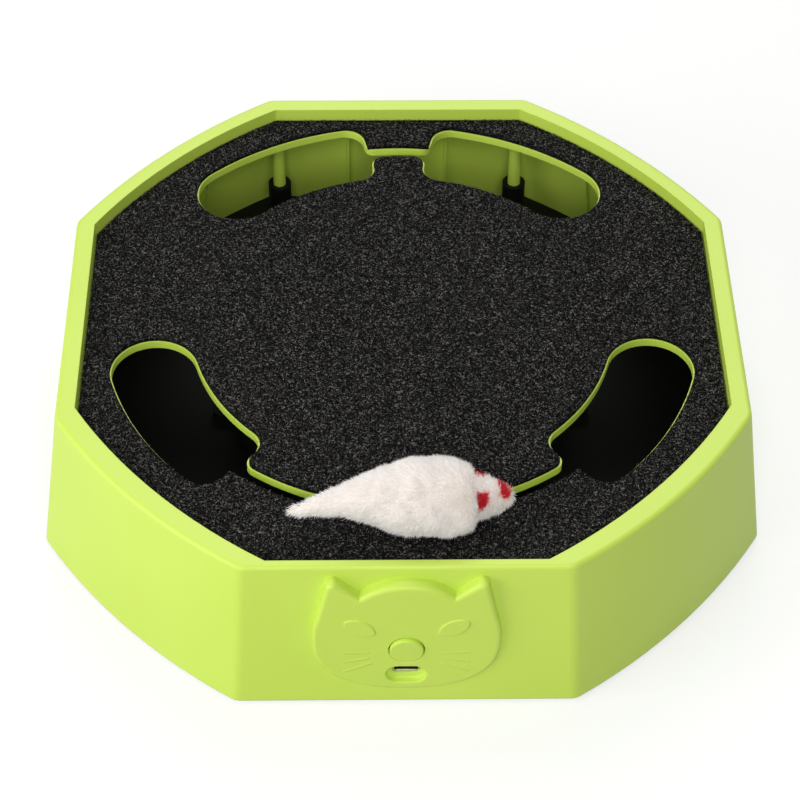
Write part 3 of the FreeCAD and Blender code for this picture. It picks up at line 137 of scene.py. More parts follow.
def relief(tree, shader, height, depth_mm, edge_mm=0.0):
    """Bump of a real depth, over edges that are rounded by a real radius."""
    inputs = {"Height": height, "Distance": depth_mm * MM, "Strength": 1.0}
    if edge_mm:
        edge = add(tree, "ShaderNodeBevel", {"Radius": edge_mm * MM}, samples=4)
        inputs["Normal"] = edge.outputs["Normal"]
    bump = add(tree, "ShaderNodeBump", inputs)
    tree.links.new(bump.outputs["Normal"], shader.inputs["Normal"])


def grained(name, roughness, drift, stops, texture, depth_mm, edge_mm, **looks):
    """Material whose colour follows one grain and whose surface follows another."""
    material, tree, shader = finish_of(name, roughness, **looks)
    coloured(tree, shader, grain(tree, *drift), *stops)
    relief(tree, shader, grain(tree, *texture), depth_mm, edge_mm)
    return material


# %% [markdown]
# The case is injection moulded in a bright lime plastic. Three things tell the eye so: a
# colour that hardly varies, a soft highlight, and edges that are never quite sharp. The
# Bevel node rounds the small edges of CAD meshes in the shader alone.

# %% Moulded plastics


def moulded_plastic(name, dark, light, roughness, texture_mm, texture_depth_mm, edge_mm, shine=0.5):
    """Moulded plastic: two near colours in slow drifts, under a fine even texture."""
    return grained(name, roughness, (60, 1.0), ((0.35, dark), (0.65, light)),
                   (texture_mm,), texture_depth_mm, edge_mm, shine=shine)


# Polypropylene takes a satin spark texture, about 0.3 mm across, drawn at 0.5 mm so that it shows.
lime_plastic = moulded_plastic("lime_polypropylene_satin_moulded", "#C9E455", "#CCE75A", 0.42,
                               texture_mm=0.5, texture_depth_mm=0.006, edge_mm=0.5)
black_plastic = moulded_plastic("black_abs_moulded", "#060606", "#090908", 0.6,
                                texture_mm=0.4, texture_depth_mm=0.01, edge_mm=0.3, shine=0.25)
white_acetal = moulded_plastic("natural_acetal_moulded", "#E4E2DA", "#EDEBE4", 0.32,
                               texture_mm=0.3, texture_depth_mm=0.004, edge_mm=0.15)

# %% [markdown]
# Metal parts are few and small. A metal's colour is in its reflection, so the base colour
# is the reflectance, and brushing shows as streaks.

# %% Metals and the rest of the finishes


def metal(name, dark, light, roughness, streak):
    """Metal whose colour varies along fine streaks; streak stretches them over one axis."""
    lines = (0.6, 3.0, streak)
    return grained(name, roughness, lines, ((0.3, dark), (0.7, light)), lines, 0.003, 0.1, metallic=1.0)


def rubber(name):
    """Moulded rubber: dark, dull, with a slightly dusty bloom."""
    return grained(name, 0.78, (2.5, 4.0), ((0.3, "#151515"), (0.8, "#232322")), (0.35,), 0.02, 0.2)


def shrink_sleeve(name):
    """Plastic sleeve shrunk round the cell: glossy, with faint waves."""
    waves = (9, 1.0, (0.4, 1, 1))
    return grained(name, 0.25, waves, ((0.3, "#1F5E9E"), (0.7, "#2A6FB4")), waves, 0.05, 0.3)


def solder_mask(name):
    """Circuit board: green lacquer over copper tracks, which show as slightly paler lines."""
    material, tree, shader = finish_of(name, 0.3)
    place = add(tree, "ShaderNodeTexCoord").outputs["Object"]
    cells = add(tree, "ShaderNodeTexVoronoi", {"Vector": place, "Scale": 1 / (2.2 * MM)},
                distance="MANHATTAN").outputs["Distance"]
    coloured(tree, shader, cells, (0.42, "#0B4A26"), (0.5, "#1B6B39"))
    relief(tree, shader, cells, 0.02, 0.1)
    return material


zinc_steel = metal("zinc_plated_steel_screws", "#A9ABA6", "#C9CBC6", 0.35, (1, 1, 1))
ground_steel = metal("ground_steel_pins", "#B4B4B2", "#CFCFCC", 0.22, (1, 1, 0.1))
bronze = metal("sintered_bronze_bush", "#8F6A3C", "#B58A52", 0.45, (1, 1, 1))
nickel = metal("nickel_plated_socket_shell", "#C6C1B4", "#D8D3C6", 0.25, (1, 0.1, 1))
foot_rubber = rubber("black_rubber_moulded")
cell_finish = shrink_sleeve("blue_pvc_shrink_sleeve")
board_finish = solder_mask("circuit_board_solder_mask")

# %% [markdown]
# Needle felt is a mat of dyed fibres punched together. Most are nearly black and a few are
# light, lying every way. The mat's colour is noise at the width of a tuft, and the light
# fibres are real strips laid on it later.

# %% Textile finishes

felt_shine = 0.02


def needle_felt(name):
    """Mat of dark fibres with paler ones mixed in."""
    material, tree, shader = finish_of(name, 0.95, shine=felt_shine)
    along = grain(tree, 0.55, 3.0, (1.0, 0.35, 1.0))
    across = grain(tree, 0.5, 3.0, (0.35, 1.0, 1.0))
    mixed = maths(tree, "MAXIMUM", along, across)
    coloured(tree, shader, mixed, (0.44, "#060606"), (0.57, "#151514"), (0.68, "#3B3A38"))
    relief(tree, shader, mixed, 0.35)
    return material


def fibre(name, patch, *stops, through=0.0, shine=0.15):
    """Fibre whose colour varies over patches of a size in mm. A share of the light passes through."""
    material, tree, shader = finish_of(name, 0.8, shine=shine)
    colour = coloured(tree, shader, grain(tree, patch), *stops)
    if through:
        lit = add(tree, "ShaderNodeBsdfTranslucent", {"Color": colour}).outputs["BSDF"]
        both = add(tree, "ShaderNodeMixShader", {0: through, 1: shader.outputs["BSDF"], 2: lit})
        tree.links.new(both.outputs["Shader"], tree.nodes["Material Output"].inputs["Surface"])
    return material


felt_finish = needle_felt("charcoal_needle_felt")
felt_fibre = fibre("grey_felt_fibre", 0.7, (0.34, "#0B0B0B"), (0.49, "#2A2928"), (0.64, "#807E7A"),
                   shine=felt_shine)
white_pile = fibre("cream_white_plush_pile", 1.6, (0.30, "#FBF7F3"), (0.70, "#FFFEFE"), through=0.38)
red_pile = fibre("red_dyed_plush_pile", 1.1, (0.30, "#D62E38"), (0.70, "#F2545E"), through=0.3)

# %% [markdown]
# Most pieces below are walls along a closed outline. A shell collects their points and
# faces. It raises a ring of points along an outline for each step of a profile, closes the
# flat between rings, and turns a profile round an axis. So a plate gets a real rounded
# edge at every hole, which catches the light.

# %% Helpers for meshes


def rounding(radius, steps=4):
    """Profile of a rounded edge, as pairs of inset and depth, from the side up on to the face."""
    turns = [math.pi / 2 * i / steps for i in range(steps + 1)]
    arc = [(radius * (1 - math.cos(turn)), radius * (1 - math.sin(turn))) for turn in turns]
    return [*arc, (radius + 0.2, 0.0)]


def lengths(runs):
    """Length of each run in a list of them."""
    return np.linalg.norm(runs, axis=1)


def drawn_in(loop, amount):
    """Closed outline moved to its left, which is inwards if it runs counter-clockwise."""
    sides = []
    for run in (loop - np.roll(loop, 1, axis=0), np.roll(loop, -1, axis=0) - loop):
        sides.append(np.stack([-run[:, 1], run[:, 0]], 1) / lengths(run)[:, None])
    share = 1 + (sides[0] * sides[1]).sum(1)
    return loop + amount * (sides[0] + sides[1]) / np.maximum(share, 0.5)[:, None]


def turned_left(loop, wanted=True):
    """The outline, run counter-clockwise if wanted, and else clockwise."""
    x, y = loop[:, 0], loop[:, 1]
    counter = (x * np.roll(y, -1) - np.roll(x, -1) * y).sum() > 0
    return loop if counter == wanted else loop[::-1]


def round_steps(sides):
    """Angles of a full round in equal steps."""
    return np.arange(sides) * 2 * math.pi / sides


def as_given(x, y, z):
    """Place of a point that is already where it should be."""
    return (x, y, z)


def make_piece(name, points, faces, material, smooth_deg=40):
    """Object from points in millimetres, with its normals set outwards."""
    mesh = bpy.data.meshes.new(name)
    mesh.from_pydata([Vector(point) * MM for point in points], [], faces)
    work = bmesh.new()
    work.from_mesh(mesh)
    bmesh.ops.remove_doubles(work, verts=work.verts, dist=1e-7)
    bmesh.ops.recalc_face_normals(work, faces=work.faces)
    work.to_mesh(mesh)
    work.free()
    mesh.materials.append(material)
    shade_edges(mesh, smooth_deg)
    return linked(name, mesh)


def linked(name, mesh):
    """Object of a mesh, in the scene."""
    piece = bpy.data.objects.new(name, mesh)
    scene.collection.objects.link(piece)
    return piece


def shade_edges(mesh, smooth_deg):
    """Shades a mesh as smooth, but for edges that turn by more than an angle."""
    mesh.shade_smooth()
    mesh.set_sharp_from_angle(angle=math.radians(smooth_deg))


class Shell:
    """Points in millimetres and faces of a piece in the making."""

    def __init__(self):
        self.points = []
        self.faces = []

    def ring(self, points):
        """Adds a ring of points and returns their numbers."""
        start = len(self.points)
        self.points += points
        return list(range(start, len(self.points)))

    def bridge(self, *rings):
        """Strip of faces from each ring to the next."""
        for low, high in zip(rings, rings[1:]):
            for i, j in zip(range(len(low)), [*range(1, len(low)), 0]):
                self.faces.append((low[i], low[j], high[j], high[i]))

    def walls(self, loop, profile, place):
        """Walls along an outline, with a ring for each step of a profile. Returns the two end rings."""
        outlines = [drawn_in(loop, inset) for inset, _ in profile]
        rings = [self.ring([place(x, y, depth) for x, y in outline])
                 for outline, (_, depth) in zip(outlines, profile)]
        self.bridge(*rings)
        return (rings[0], outlines[0]), (rings[-1], outlines[-1])

    def lid(self, outer, holes=()):
        """Flat between a ring and the rings of its holes, each given with its outline."""
        rings = [outer, *holes]
        order = [index for indices, _ in rings for index in indices]
        flat = [[Vector((*point, 0)) for point in outline] for _, outline in rings]
        for triangle in geometry.tessellate_polygon(flat):
            self.faces.append(tuple(order[i] for i in triangle))

    def turned(self, profile, place=as_given, sides=48):
        """A profile of radius and height, turned once round. Returns its last ring."""
        rings = []
        for radius, height in profile:
            turns = [2 * math.pi * i / sides for i in range(sides)] if radius > 0 else [0.0]
            points = [place(radius * math.cos(t), radius * math.sin(t), height) for t in turns]
            rings.append(self.ring(points))
        for low, high in zip(rings, rings[1:]):
            for i in range(sides):
                j = (i + 1) % sides
                corners = [low[i % len(low)], low[j % len(low)], high[j % len(high)], high[i % len(high)]]
                self.faces.append(tuple(dict.fromkeys(corners)))
        return rings[-1]

    def piece(self, name, material, smooth_deg=40):
        """Object made of the shell."""
        return make_piece(name, self.points, self.faces, material, smooth_deg)


def evaluated(piece):
    """New mesh of a piece as its modifiers leave it."""
    view = bpy.context.evaluated_depsgraph_get()
    return bpy.data.meshes.new_from_object(piece.evaluated_get(view))


def made_mesh(piece, kind, **settings):
    """Runs one modifier on a piece and keeps the result as its mesh."""
    modifier = piece.modifiers.new(kind.title(), kind)
    set_all(modifier, **settings)
    mesh = evaluated(piece)
    piece.modifiers.remove(modifier)
    piece.data = mesh


def cad_copy(node):
    """Copy of a CAD node's mesh with its loose triangles merged."""
    work = bmesh.new()
    work.from_mesh(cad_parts[node].data)
    bmesh.ops.remove_doubles(work, verts=work.verts, dist=1e-6)
    return work


def outlines_at(node, height_mm):
    """Closed outlines, in mm, round the flat that a CAD node has at a height."""
    work = cad_copy(node)
    flat = {face for face in work.faces if all(abs(v.co.z / MM - height_mm) < 0.01 for v in face.verts)}
    border = [edge for edge in work.edges if sum(face in flat for face in edge.link_faces) == 1]
    beside = {}
    for edge in border:
        for one, other in (edge.verts, reversed(edge.verts)):
            beside.setdefault(one, []).append(other)
    loops = []
    while beside:
        walk = [next(iter(beside))]
        while following := [v for v in beside.pop(walk[-1]) if v in beside]:
            walk.append(following[0])
        loops.append(np.array([v.co[:2] for v in walk]) / MM)
    work.free()
    return sorted((loop for loop in loops if len(loop) > 8), key=len, reverse=True)


def softened(loop, spacing_mm, gentle_cosine=0.86):
    """Outline with points added on its curves, where the turns are gentle."""
    for _ in range(2):
        before, after, beyond = (np.roll(loop, shift, axis=0) for shift in (1, -1, -2))
        runs = [loop - before, after - loop, beyond - after]
        sizes = [lengths(run) for run in runs]
        units = [run / size[:, None] for run, size in zip(runs, sizes)]
        wanted = (sizes[1] > spacing_mm) & (sizes[0] + sizes[2] < 6 * sizes[1])
        for one, other in zip(units, units[1:]):
            wanted &= (one * other).sum(1) > gentle_cosine
        curved = (9 * (loop + after) - before - beyond) / 16
        rows = []
        for i in range(len(loop)):
            rows.append(loop[i])
            if wanted[i]:
                rows.append(curved[i])
        loop = np.array(rows)
    return loop


# %% [markdown]
# The felt is one sheet, die cut to the tray and glued on the deck. The die rounds its top
# edge by about half its thickness. Its outline comes from the CAD sheet.

# %% Felt sheet

felt_low, felt_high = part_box("felt_pad")
felt_top = felt_high.z / MM
felt_thickness = (felt_high.z - felt_low.z) / MM
felt_edge = 0.7
curve_spacing = 1.0


def on_felt(x, y, depth):
    """Point below the felt's top by a depth."""
    return (x, y, felt_top - depth)


def make_felt():
    """Sheet with rounded top edges at the tray's rim and round both pairs of mouse holes."""
    loops = [softened(loop, curve_spacing) for loop in outlines_at("felt_pad", felt_top)]
    outer = max(loops, key=lambda loop: np.ptp(loop[:, 0]))
    shell = Shell()
    tops = []
    bottoms = []
    for loop in loops:
        place = 0 if loop is outer else len(tops)
        profile = [(0, felt_thickness), *rounding(felt_edge)]
        bottom, top = shell.walls(turned_left(loop, loop is outer), profile, on_felt)
        tops.insert(place, top)
        bottoms.insert(place, bottom)
    shell.lid(tops[0], tops[1:])
    shell.lid(bottoms[0], bottoms[1:])
    return shell.piece("felt_sheet", felt_finish)


felt_sheet = make_felt()

# %% [markdown]
# Geometry Nodes make whatever repeats: the felt's loose fibres, the pile of the plush,
# the screws and the feet. Each time a small blank is put on many points and turned to an
# aim. The helpers start a tree, end it, and turn its result into a mesh.

# %% Helpers for Geometry Nodes


def start_tree(name, **kinds):
    """Geometry Nodes tree with an input for each label, and the sockets of its inputs."""
    tree = bpy.data.node_groups.new(name, "GeometryNodeTree")
    tree.interface.new_socket("Geometry", in_out="OUTPUT", socket_type="NodeSocketGeometry")
    for label, kind in {"Carrier": "Geometry", "Blank": "Object", "Finish": "Material", **kinds}.items():
        tree.interface.new_socket(label, in_out="INPUT", socket_type="NodeSocket" + kind)
    return tree, tree.nodes.new("NodeGroupInput").outputs


def end_tree(tree, inputs, points, **placing):
    """Puts the blank on points, makes the instances real and sets the material."""
    blank = add(tree, "GeometryNodeObjectInfo", {"Object": inputs["Blank"]}).outputs["Geometry"]
    placed = add(tree, "GeometryNodeInstanceOnPoints", {"Points": points, "Instance": blank, **placing})
    real = add(tree, "GeometryNodeRealizeInstances", {"Geometry": placed.outputs["Instances"]})
    done = add(tree, "GeometryNodeSetMaterial",
               {"Geometry": real.outputs["Geometry"], "Material": inputs["Finish"]})
    add(tree, "NodeGroupOutput", {"Geometry": done.outputs["Geometry"]})


def scattered(tree, inputs, chosen):
    """Random points on the chosen faces of the carrier, with their normals."""
    return add(tree, "GeometryNodeDistributePointsOnFaces",
               {"Mesh": inputs["Carrier"], "Selection": chosen, "Density": inputs["Density"],
                "Seed": inputs["Seed"]}).outputs


def chance(tree, low, high, seed):
    """Random value between two numbers, or random vector between two triples."""
    if isinstance(low, tuple):
        spans = {"Min": low, "Max": high, "Seed": seed}
        return add(tree, "FunctionNodeRandomValue", spans, data_type="FLOAT_VECTOR").outputs["Value"]
    node = add(tree, "FunctionNodeRandomValue", {2: low, 3: high, "Seed": seed}, data_type="FLOAT")
    return node.outputs[1]


def stored(tree, name, kind):
    """Attribute that is kept on the mesh."""
    return add(tree, "GeometryNodeInputNamedAttribute", {"Name": name}, data_type=kind).outputs["Attribute"]


def vectors(tree, operation, *values, **named):
    """Result of one operation on vectors."""
    inputs = {**dict(enumerate(values)), **named}
    return add(tree, "ShaderNodeVectorMath", inputs, operation=operation).outputs["Vector"]


def aimed(tree, aim, start=(0.0, 0.0, 0.0)):
    """Rotation that turns a blank's own Z to an aim."""
    inputs = {"Vector": aim, "Rotation": start}
    return add(tree, "FunctionNodeAlignRotationToVector", inputs, axis="Z").outputs["Rotation"]


def grown(name, tree, carrier, values):
    """Piece with the plain mesh of what a tree makes on a carrier. The blank goes."""
    modifier = carrier.modifiers.new("grow", "NODES")
    modifier.node_group = tree
    labels = {item.name: item.identifier for item in tree.interface.items_tree if item.in_out == "INPUT"}
    for label, value in values.items():
        modifier[labels[label]] = value
    carrier.update_tag()
    mesh = evaluated(carrier)
    carrier.modifiers.remove(modifier)
    bpy.data.objects.remove(values["Blank"])
    print(name, "has", len(mesh.polygons), "faces")
    return linked(name, mesh)


# %% [markdown]
# Fibres that the needles left loose lie flat on the felt, every way round, and give the
# dark mat its grey, woolly look. They are real strips, each with a slight bow.

# %% Loose fibres on the felt

fibre_length = 1.7
fibre_width = 0.17
fibre_bow = 0.35
fibres_per_square_mm = 1.9
fibre_lift = 0.06
fibre_tilt = 0.06
full_turn = 6.283


def strip_blank(name, length, width, bow, upright):
    """Bowed blade or fibre, widest at its middle, which stands or lies."""
    rows = [(0.0, -0.3, 0.0), (0.0, 0.3, 0.0), (0.5, -0.5, bow * 0.4), (0.5, 0.5, bow * 0.4),
            (1.0, 0.0, bow)]
    points = []
    for along, side, out in rows:
        across = side * width
        lying = ((along - 0.5) * length, across + out, 0)
        points.append((out, across, along * length) if upright else lying)
    return make_piece(name, points, [(0, 1, 3, 2), (2, 3, 4)], felt_fibre, 180)


def lying_fibres():
    """Tree that scatters fibres over the faces that look up, each turned at random."""
    tree, inputs = start_tree("lying_fibres", Density="Float", Seed="Int", Lift="Float")
    normal = add(tree, "GeometryNodeInputNormal").outputs["Normal"]
    up = add(tree, "ShaderNodeSeparateXYZ", {"Vector": normal}).outputs["Z"]
    top = add(tree, "FunctionNodeCompare", {0: up, 1: 0.5}, operation="GREATER_THAN").outputs["Result"]
    raised = add(tree, "ShaderNodeCombineXYZ", {"Z": inputs["Lift"]}).outputs["Vector"]
    points = add(tree, "GeometryNodeSetPosition",
                 {"Geometry": scattered(tree, inputs, top)["Points"], "Offset": raised})
    turn = chance(tree, (-fibre_tilt, -fibre_tilt, 0.0), (fibre_tilt, fibre_tilt, full_turn), inputs["Seed"])
    size = chance(tree, 0.5, 1.2, inputs["Seed"])
    end_tree(tree, inputs, points.outputs["Geometry"], Rotation=turn, Scale=size)
    return tree


fibre_blank = strip_blank("fibre_blank", fibre_length, fibre_width, fibre_bow, upright=False)
felt_fibres = grown("felt_fibres", lying_fibres(), felt_sheet, {
    "Blank": fibre_blank, "Finish": felt_fibre, "Density": fibres_per_square_mm / MM**2, "Seed": 4,
    "Lift": fibre_lift * MM})

# %% [markdown]
# The sheet and its fibres ride the case, and the sheet takes the place of the CAD felt pad.

hand_over(felt_sheet, "case", "charcoal_felt", "felt_pad")
hand_over(felt_fibres, "case", "charcoal_felt")

# %% [markdown]
# The cat's head is a raised panel on the front wall. The wall leans back, and the relief
# grows from chin to crown, so the face is steeper than the wall. Each point is placed by
# its x, its height and its depth behind that sloping face. Where the relief is lower than
# the rounded edge, the rounding runs into the wall.

# %% Face of the case: where things are

wall_foot_z = 1.2
wall_lean = math.tan(math.radians(8.1))
front_y = -123.6
wall_thickness = 2.6
chin_height = 5.3
crown_height = 54.6
chin_relief = 0.5
crown_relief = 4.5
sunk = 0.3


def wall_y(height):
    """Outer face of the front wall, for a height above the wall's foot."""
    return front_y + height * wall_lean


def face_y(height):
    """Face of the cat's head, for a height above the wall's foot."""
    share = (height - chin_height) / (crown_height - chin_height)
    return wall_y(height) - chin_relief - share * (crown_relief - chin_relief)


def on_face(x, height, depth):
    """Point behind the face by a depth, but never deeper than just inside the wall."""
    return (x, min(face_y(height) + depth, wall_y(height) + sunk), height + wall_foot_z)


def in_face(x, height, depth):
    """Point behind the face by a depth, also inside the wall."""
    return (x, face_y(height) + depth, height + wall_foot_z)


def in_wall(x, height, depth):
    """Point behind the wall's outer face by a depth."""
    return (x, wall_y(height) + depth, height + wall_foot_z)


# %% Outlines of the face

face_half_width = 30.7
face_middle = 29.4
face_reach = 24.1
cheek_fullness = 2.4
ear_base_turn = 19.0
ear_tip = (25.3, 57.2)
ear_round = 2.2
valley = (15.3, 48.8)


def arc_through(first, top, steps):
    """Points of the arc from one point over a top to its mirror image, without its ends."""
    across = first[0]
    rise = top - first[1]
    radius = (across**2 + rise**2) / (2 * rise)
    half = math.asin(across / radius)
    turns = np.linspace(half, -half, steps + 2)[1:-1]
    return [(radius * math.sin(turn), top - radius + radius * math.cos(turn)) for turn in turns]


def rounded_corner(before, corner, after, radius, steps=8):
    """Points of the arc that rounds a corner between two straight runs."""
    corner, before, after = (np.array(point) for point in (corner, before, after))
    back, ahead = ((point - corner) / np.linalg.norm(point - corner) for point in (before, after))
    half = math.acos(float(back @ ahead)) / 2
    middle = corner + (back + ahead) / np.linalg.norm(back + ahead) * radius / math.sin(half)
    start = corner + back * radius / math.tan(half) - middle
    end = corner + ahead * radius / math.tan(half) - middle
    sweep = math.pi - 2 * half
    arc = []
    for share in np.linspace(0, 1, steps + 1):
        turned = start * math.sin((1 - share) * sweep) + end * math.sin(share * sweep)
        arc.append(tuple(middle + turned / math.sin(sweep)))
    return arc


def bent(value, power):
    """A power of a value that keeps its sign."""
    return math.copysign(abs(value) ** power, value)


def cat_head():
    """Outline of the cat's head, counter-clockwise from the left ear's foot."""
    turns = np.radians(np.arange(180 - ear_base_turn, 360 + ear_base_turn + 0.1, 2.0))
    power = 2 / cheek_fullness
    cheeks = [(bent(math.cos(t), power) * face_half_width,
               bent(math.sin(t), power) * face_reach + face_middle) for t in turns]
    left_tip = (-ear_tip[0], ear_tip[1])
    left_valley = (-valley[0], valley[1])
    right_ear = rounded_corner(cheeks[-1], ear_tip, valley, ear_round)
    crown = arc_through(valley, crown_height, 24)
    left_ear = rounded_corner(left_valley, left_tip, cheeks[0], ear_round)
    return np.array([*cheeks, *right_ear, valley, *crown, left_valley, *left_ear])


def stadium(middle, length, width, steps=12):
    """Outline with straight sides and round ends, counter-clockwise."""
    radius = width / 2
    turns = np.linspace(-math.pi / 2, math.pi / 2, steps + 1)
    right = [(length / 2 - radius + radius * math.cos(t), middle + radius * math.sin(t)) for t in turns]
    return np.array([*right, *[(-x, 2 * middle - y) for x, y in right]])


def circle(middle, radius, sides=56):
    """Round outline on the y axis, counter-clockwise."""
    turns = round_steps(sides)
    return np.stack([radius * np.cos(turns), middle + radius * np.sin(turns)], 1)


def leaf(x, height, length, thickness, slant, sides=44):
    """Oval with narrow ends, counter-clockwise, turned by a slant in degrees."""
    turns = round_steps(sides)
    across = np.sin(turns) * np.abs(np.sin(turns))**0.3
    loop = np.stack([length / 2 * np.cos(turns), thickness / 2 * across], 1)
    turn = math.radians(slant)
    spin = np.array([[math.cos(turn), math.sin(turn)], [-math.sin(turn), math.cos(turn)]])
    return loop @ spin + (x, height)


def stroke(start, end, width, steps=6):
    """Narrow straight outline with round ends, counter-clockwise."""
    start, end = np.array(start), np.array(end)
    heading = math.atan2(*(end - start)[::-1])
    loop = []
    for middle, turned in ((end, -0.5), (start, 0.5)):
        for turn in heading + math.pi * (turned + np.arange(steps + 1) / steps):
            loop.append(middle + width / 2 * np.array([math.cos(turn), math.sin(turn)]))
    return np.array(loop)


# %% [markdown]
# The deck is the CAD plate with its upper edges rounded. The felt stops half a millimetre
# short of each hole, so this edge is what shines round the holes.

# %% Deck

deck_edge = 0.6
deck_top = felt_top - felt_thickness
sharpest_curve = math.radians(50)


def make_deck():
    """Plate from the CAD node, with real rounded edges round its top."""
    work = cad_copy("deck")
    edges = [edge for edge in work.edges
             if len(edge.link_faces) == 2 and edge.calc_face_angle() > sharpest_curve
             and all(abs(vertex.co.z / MM - deck_top) < 0.01 for vertex in edge.verts)]
    bmesh.ops.bevel(work, geom=edges, offset=deck_edge * MM, offset_type="OFFSET", segments=3, profile=0.5,
                    affect="EDGES", clamp_overlap=True)
    work.verts.index_update()
    points = [vertex.co / MM for vertex in work.verts]
    faces = [tuple(vertex.index for vertex in face.verts) for face in work.faces]
    work.free()
    print("deck edges rounded:", len(edges))
    piece = make_piece("deck_plate", points, faces, lime_plastic)
    made_mesh(piece, "WEIGHTED_NORMAL", keep_sharp=True)
    return piece


hand_over(make_deck(), "case", "green_plastic", "deck")

# %% [markdown]
# The mould leaves four things in the face: a bore for the nose button, a pocket with the
# charging slot for a mouth, and raised eyes and whiskers. The pocket and the bore are rings
# through the panel; the eyes and whiskers are low cushions on a sunk foot.

# %% Cat face

nose_height = 24.8
nose_radius = 5.55
nose_gap = 0.3
face_edge = 1.5
bore_edge = 0.5
mouth_height = 12.8
mouth_size = (13.3, 7.8)
mouth_depth = 2.2
mouth_edge = 0.45
port_size = (9.3, 3.5)
port_skin = 0.9
port_relief = 0.8
plug_half_width = 8.5
plug_low = 7.0
plug_high = 32.5
eye_place = (15.2, 35.7)
eye_size = (11.4, 6.6)
eye_slant = 31.0
eye_rise = 0.4
eye_edge = 0.35
whisker_width = 0.8
whisker_rise = 0.12
# Each whisker runs from its outer end to its inner end, as x and height.
whiskers = [((20.2, 23.8), (12.6, 23.6)), ((20.4, 19.3), (12.4, 21.1)), ((20.2, 14.6), (11.7, 18.5))]


def add_cushion(shell, loop, profile):
    """Low raised form on the face, with a sunk foot. Its profile is from the face up."""
    steps = [(0, sunk), *[(inset, -rise) for inset, rise in profile]]
    shell.lid(shell.walls(turned_left(loop), steps, in_face)[1])


def add_bore(shell, loop, edge, floor=None):
    """Hole through the panel, rounded at the face. With a floor, only down to that depth."""
    profile = rounding(edge)[::-1]
    if floor:
        profile += [(0, floor - 0.3), (-0.1, floor - 0.1), (-0.3, floor)]
    return shell.walls(turned_left(loop, False), profile, in_face)


def add_port(shell):
    """Charging slot in the mouth's floor, with a small lip, which widens behind."""
    behind = mouth_depth + port_skin
    profile = [(0.25, mouth_depth), (0.06, mouth_depth + 0.08), (0, mouth_depth + 0.3), (0, behind),
               (port_relief, behind + 0.05)]
    return shell.walls(turned_left(stadium(mouth_height, *port_size), False), profile, in_face)


def add_plug(shell, foot, ends):
    """Back of the panel: a block through the wall, with the holes that end in it."""
    corners = ((-1, plug_low), (1, plug_low), (1, plug_high), (-1, plug_high))
    corners = np.array([(side * plug_half_width, height) for side, height in corners])
    start, back = shell.walls(corners, [(0, sunk), (0, wall_thickness)], in_wall)
    holes = [shell.walls(outline, [(0, wall_thickness)], in_wall)[0] for _, outline in ends]
    for (ring, _), (hole, _) in zip(ends, holes):
        shell.bridge(ring, hole)
    shell.lid(foot, [start])
    shell.lid(back, holes)


def make_face():
    """Panel with its holes, the plug at its back, the eyes and the whiskers."""
    shell = Shell()
    edge = [(0, 2 * crown_relief), *rounding(face_edge, 6)]
    foot, rim = shell.walls(turned_left(cat_head()), edge, on_face)
    bore_rim, bore_end = add_bore(shell, circle(nose_height, nose_radius + nose_gap), bore_edge)
    mouth_rim, mouth_floor = add_bore(shell, stadium(mouth_height, *mouth_size), mouth_edge, mouth_depth)
    shell.lid(rim, [bore_rim, mouth_rim])
    port_rim, port_end = add_port(shell)
    shell.lid(mouth_floor, [port_rim])
    add_plug(shell, foot, [bore_end, port_end])

    cushion = [(inset, eye_rise - depth) for inset, depth in rounding(eye_edge)]
    ridge = [(0.08, 0), (0.18, 0.6 * whisker_rise), (0.34, whisker_rise)]
    for side in (-1, 1):
        add_cushion(shell, leaf(side * eye_place[0], eye_place[1], *eye_size, side * eye_slant), cushion)
        for outer, inner in whiskers:
            start, end = ((side * x, height) for x, height in (outer, inner))
            add_cushion(shell, stroke(start, end, whisker_width), ridge)
    return shell.piece("cat_face", lime_plastic)


hand_over(make_face(), "case", "green_plastic", "cat_face_panel")

# %% [markdown]
# The nose is the on-off button: a turned form with a soft edge, a flange behind the
# panel and a stem that reaches the switch. The ring-shaped gap round it is real space.

# %% Nose button

nose_edge = 0.55
nose_hollow = 0.05
flange_overlap = 1.6
flange_thickness = 1.2
stem_radius = 1.6


def make_nose():
    """Round button, turned about an axis that runs straight back."""
    front, back = (corner.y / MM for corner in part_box("nose_button"))
    height = nose_height + wall_foot_z
    flange_radius = nose_radius + nose_gap + flange_overlap
    flange_front = wall_y(nose_height + nose_radius + 1.9) + wall_thickness + 0.1 - front
    flange_back = flange_front + flange_thickness
    profile = [(0, 0), (nose_radius - 2.2, 0.01), (nose_radius - nose_edge - 0.15, nose_hollow)]
    edge = rounding(nose_edge, 5)[-2::-1]
    profile += [(nose_radius - inset, depth + nose_hollow) for inset, depth in edge]
    profile += [(nose_radius, flange_front), (flange_radius, flange_front), (flange_radius, flange_back),
                (stem_radius, flange_back), (stem_radius, back - front), (0, back - front)]
    shell = Shell()
    shell.turned(profile, lambda u, v, depth: (u, front + depth, height + v), 64)
    return shell.piece("nose", lime_plastic)


hand_over(make_nose(), "button", "green_plastic", "nose_button")

# %% [markdown]
# The mouse is a small stuffed bag of plush: a body that is fullest at the shoulders, a
# tapered head and a flat tail stub. Its skin starts as three lofted forms, run into one by
# a voxel remesh, which leaves a crease at the neck.

# %% Mouse: three forms

mouse_turn = math.radians(4.5)
mouse_middle = (0.0, -92.981)
mouse_foot = felt_top + 0.4
skin_inset = 1.3
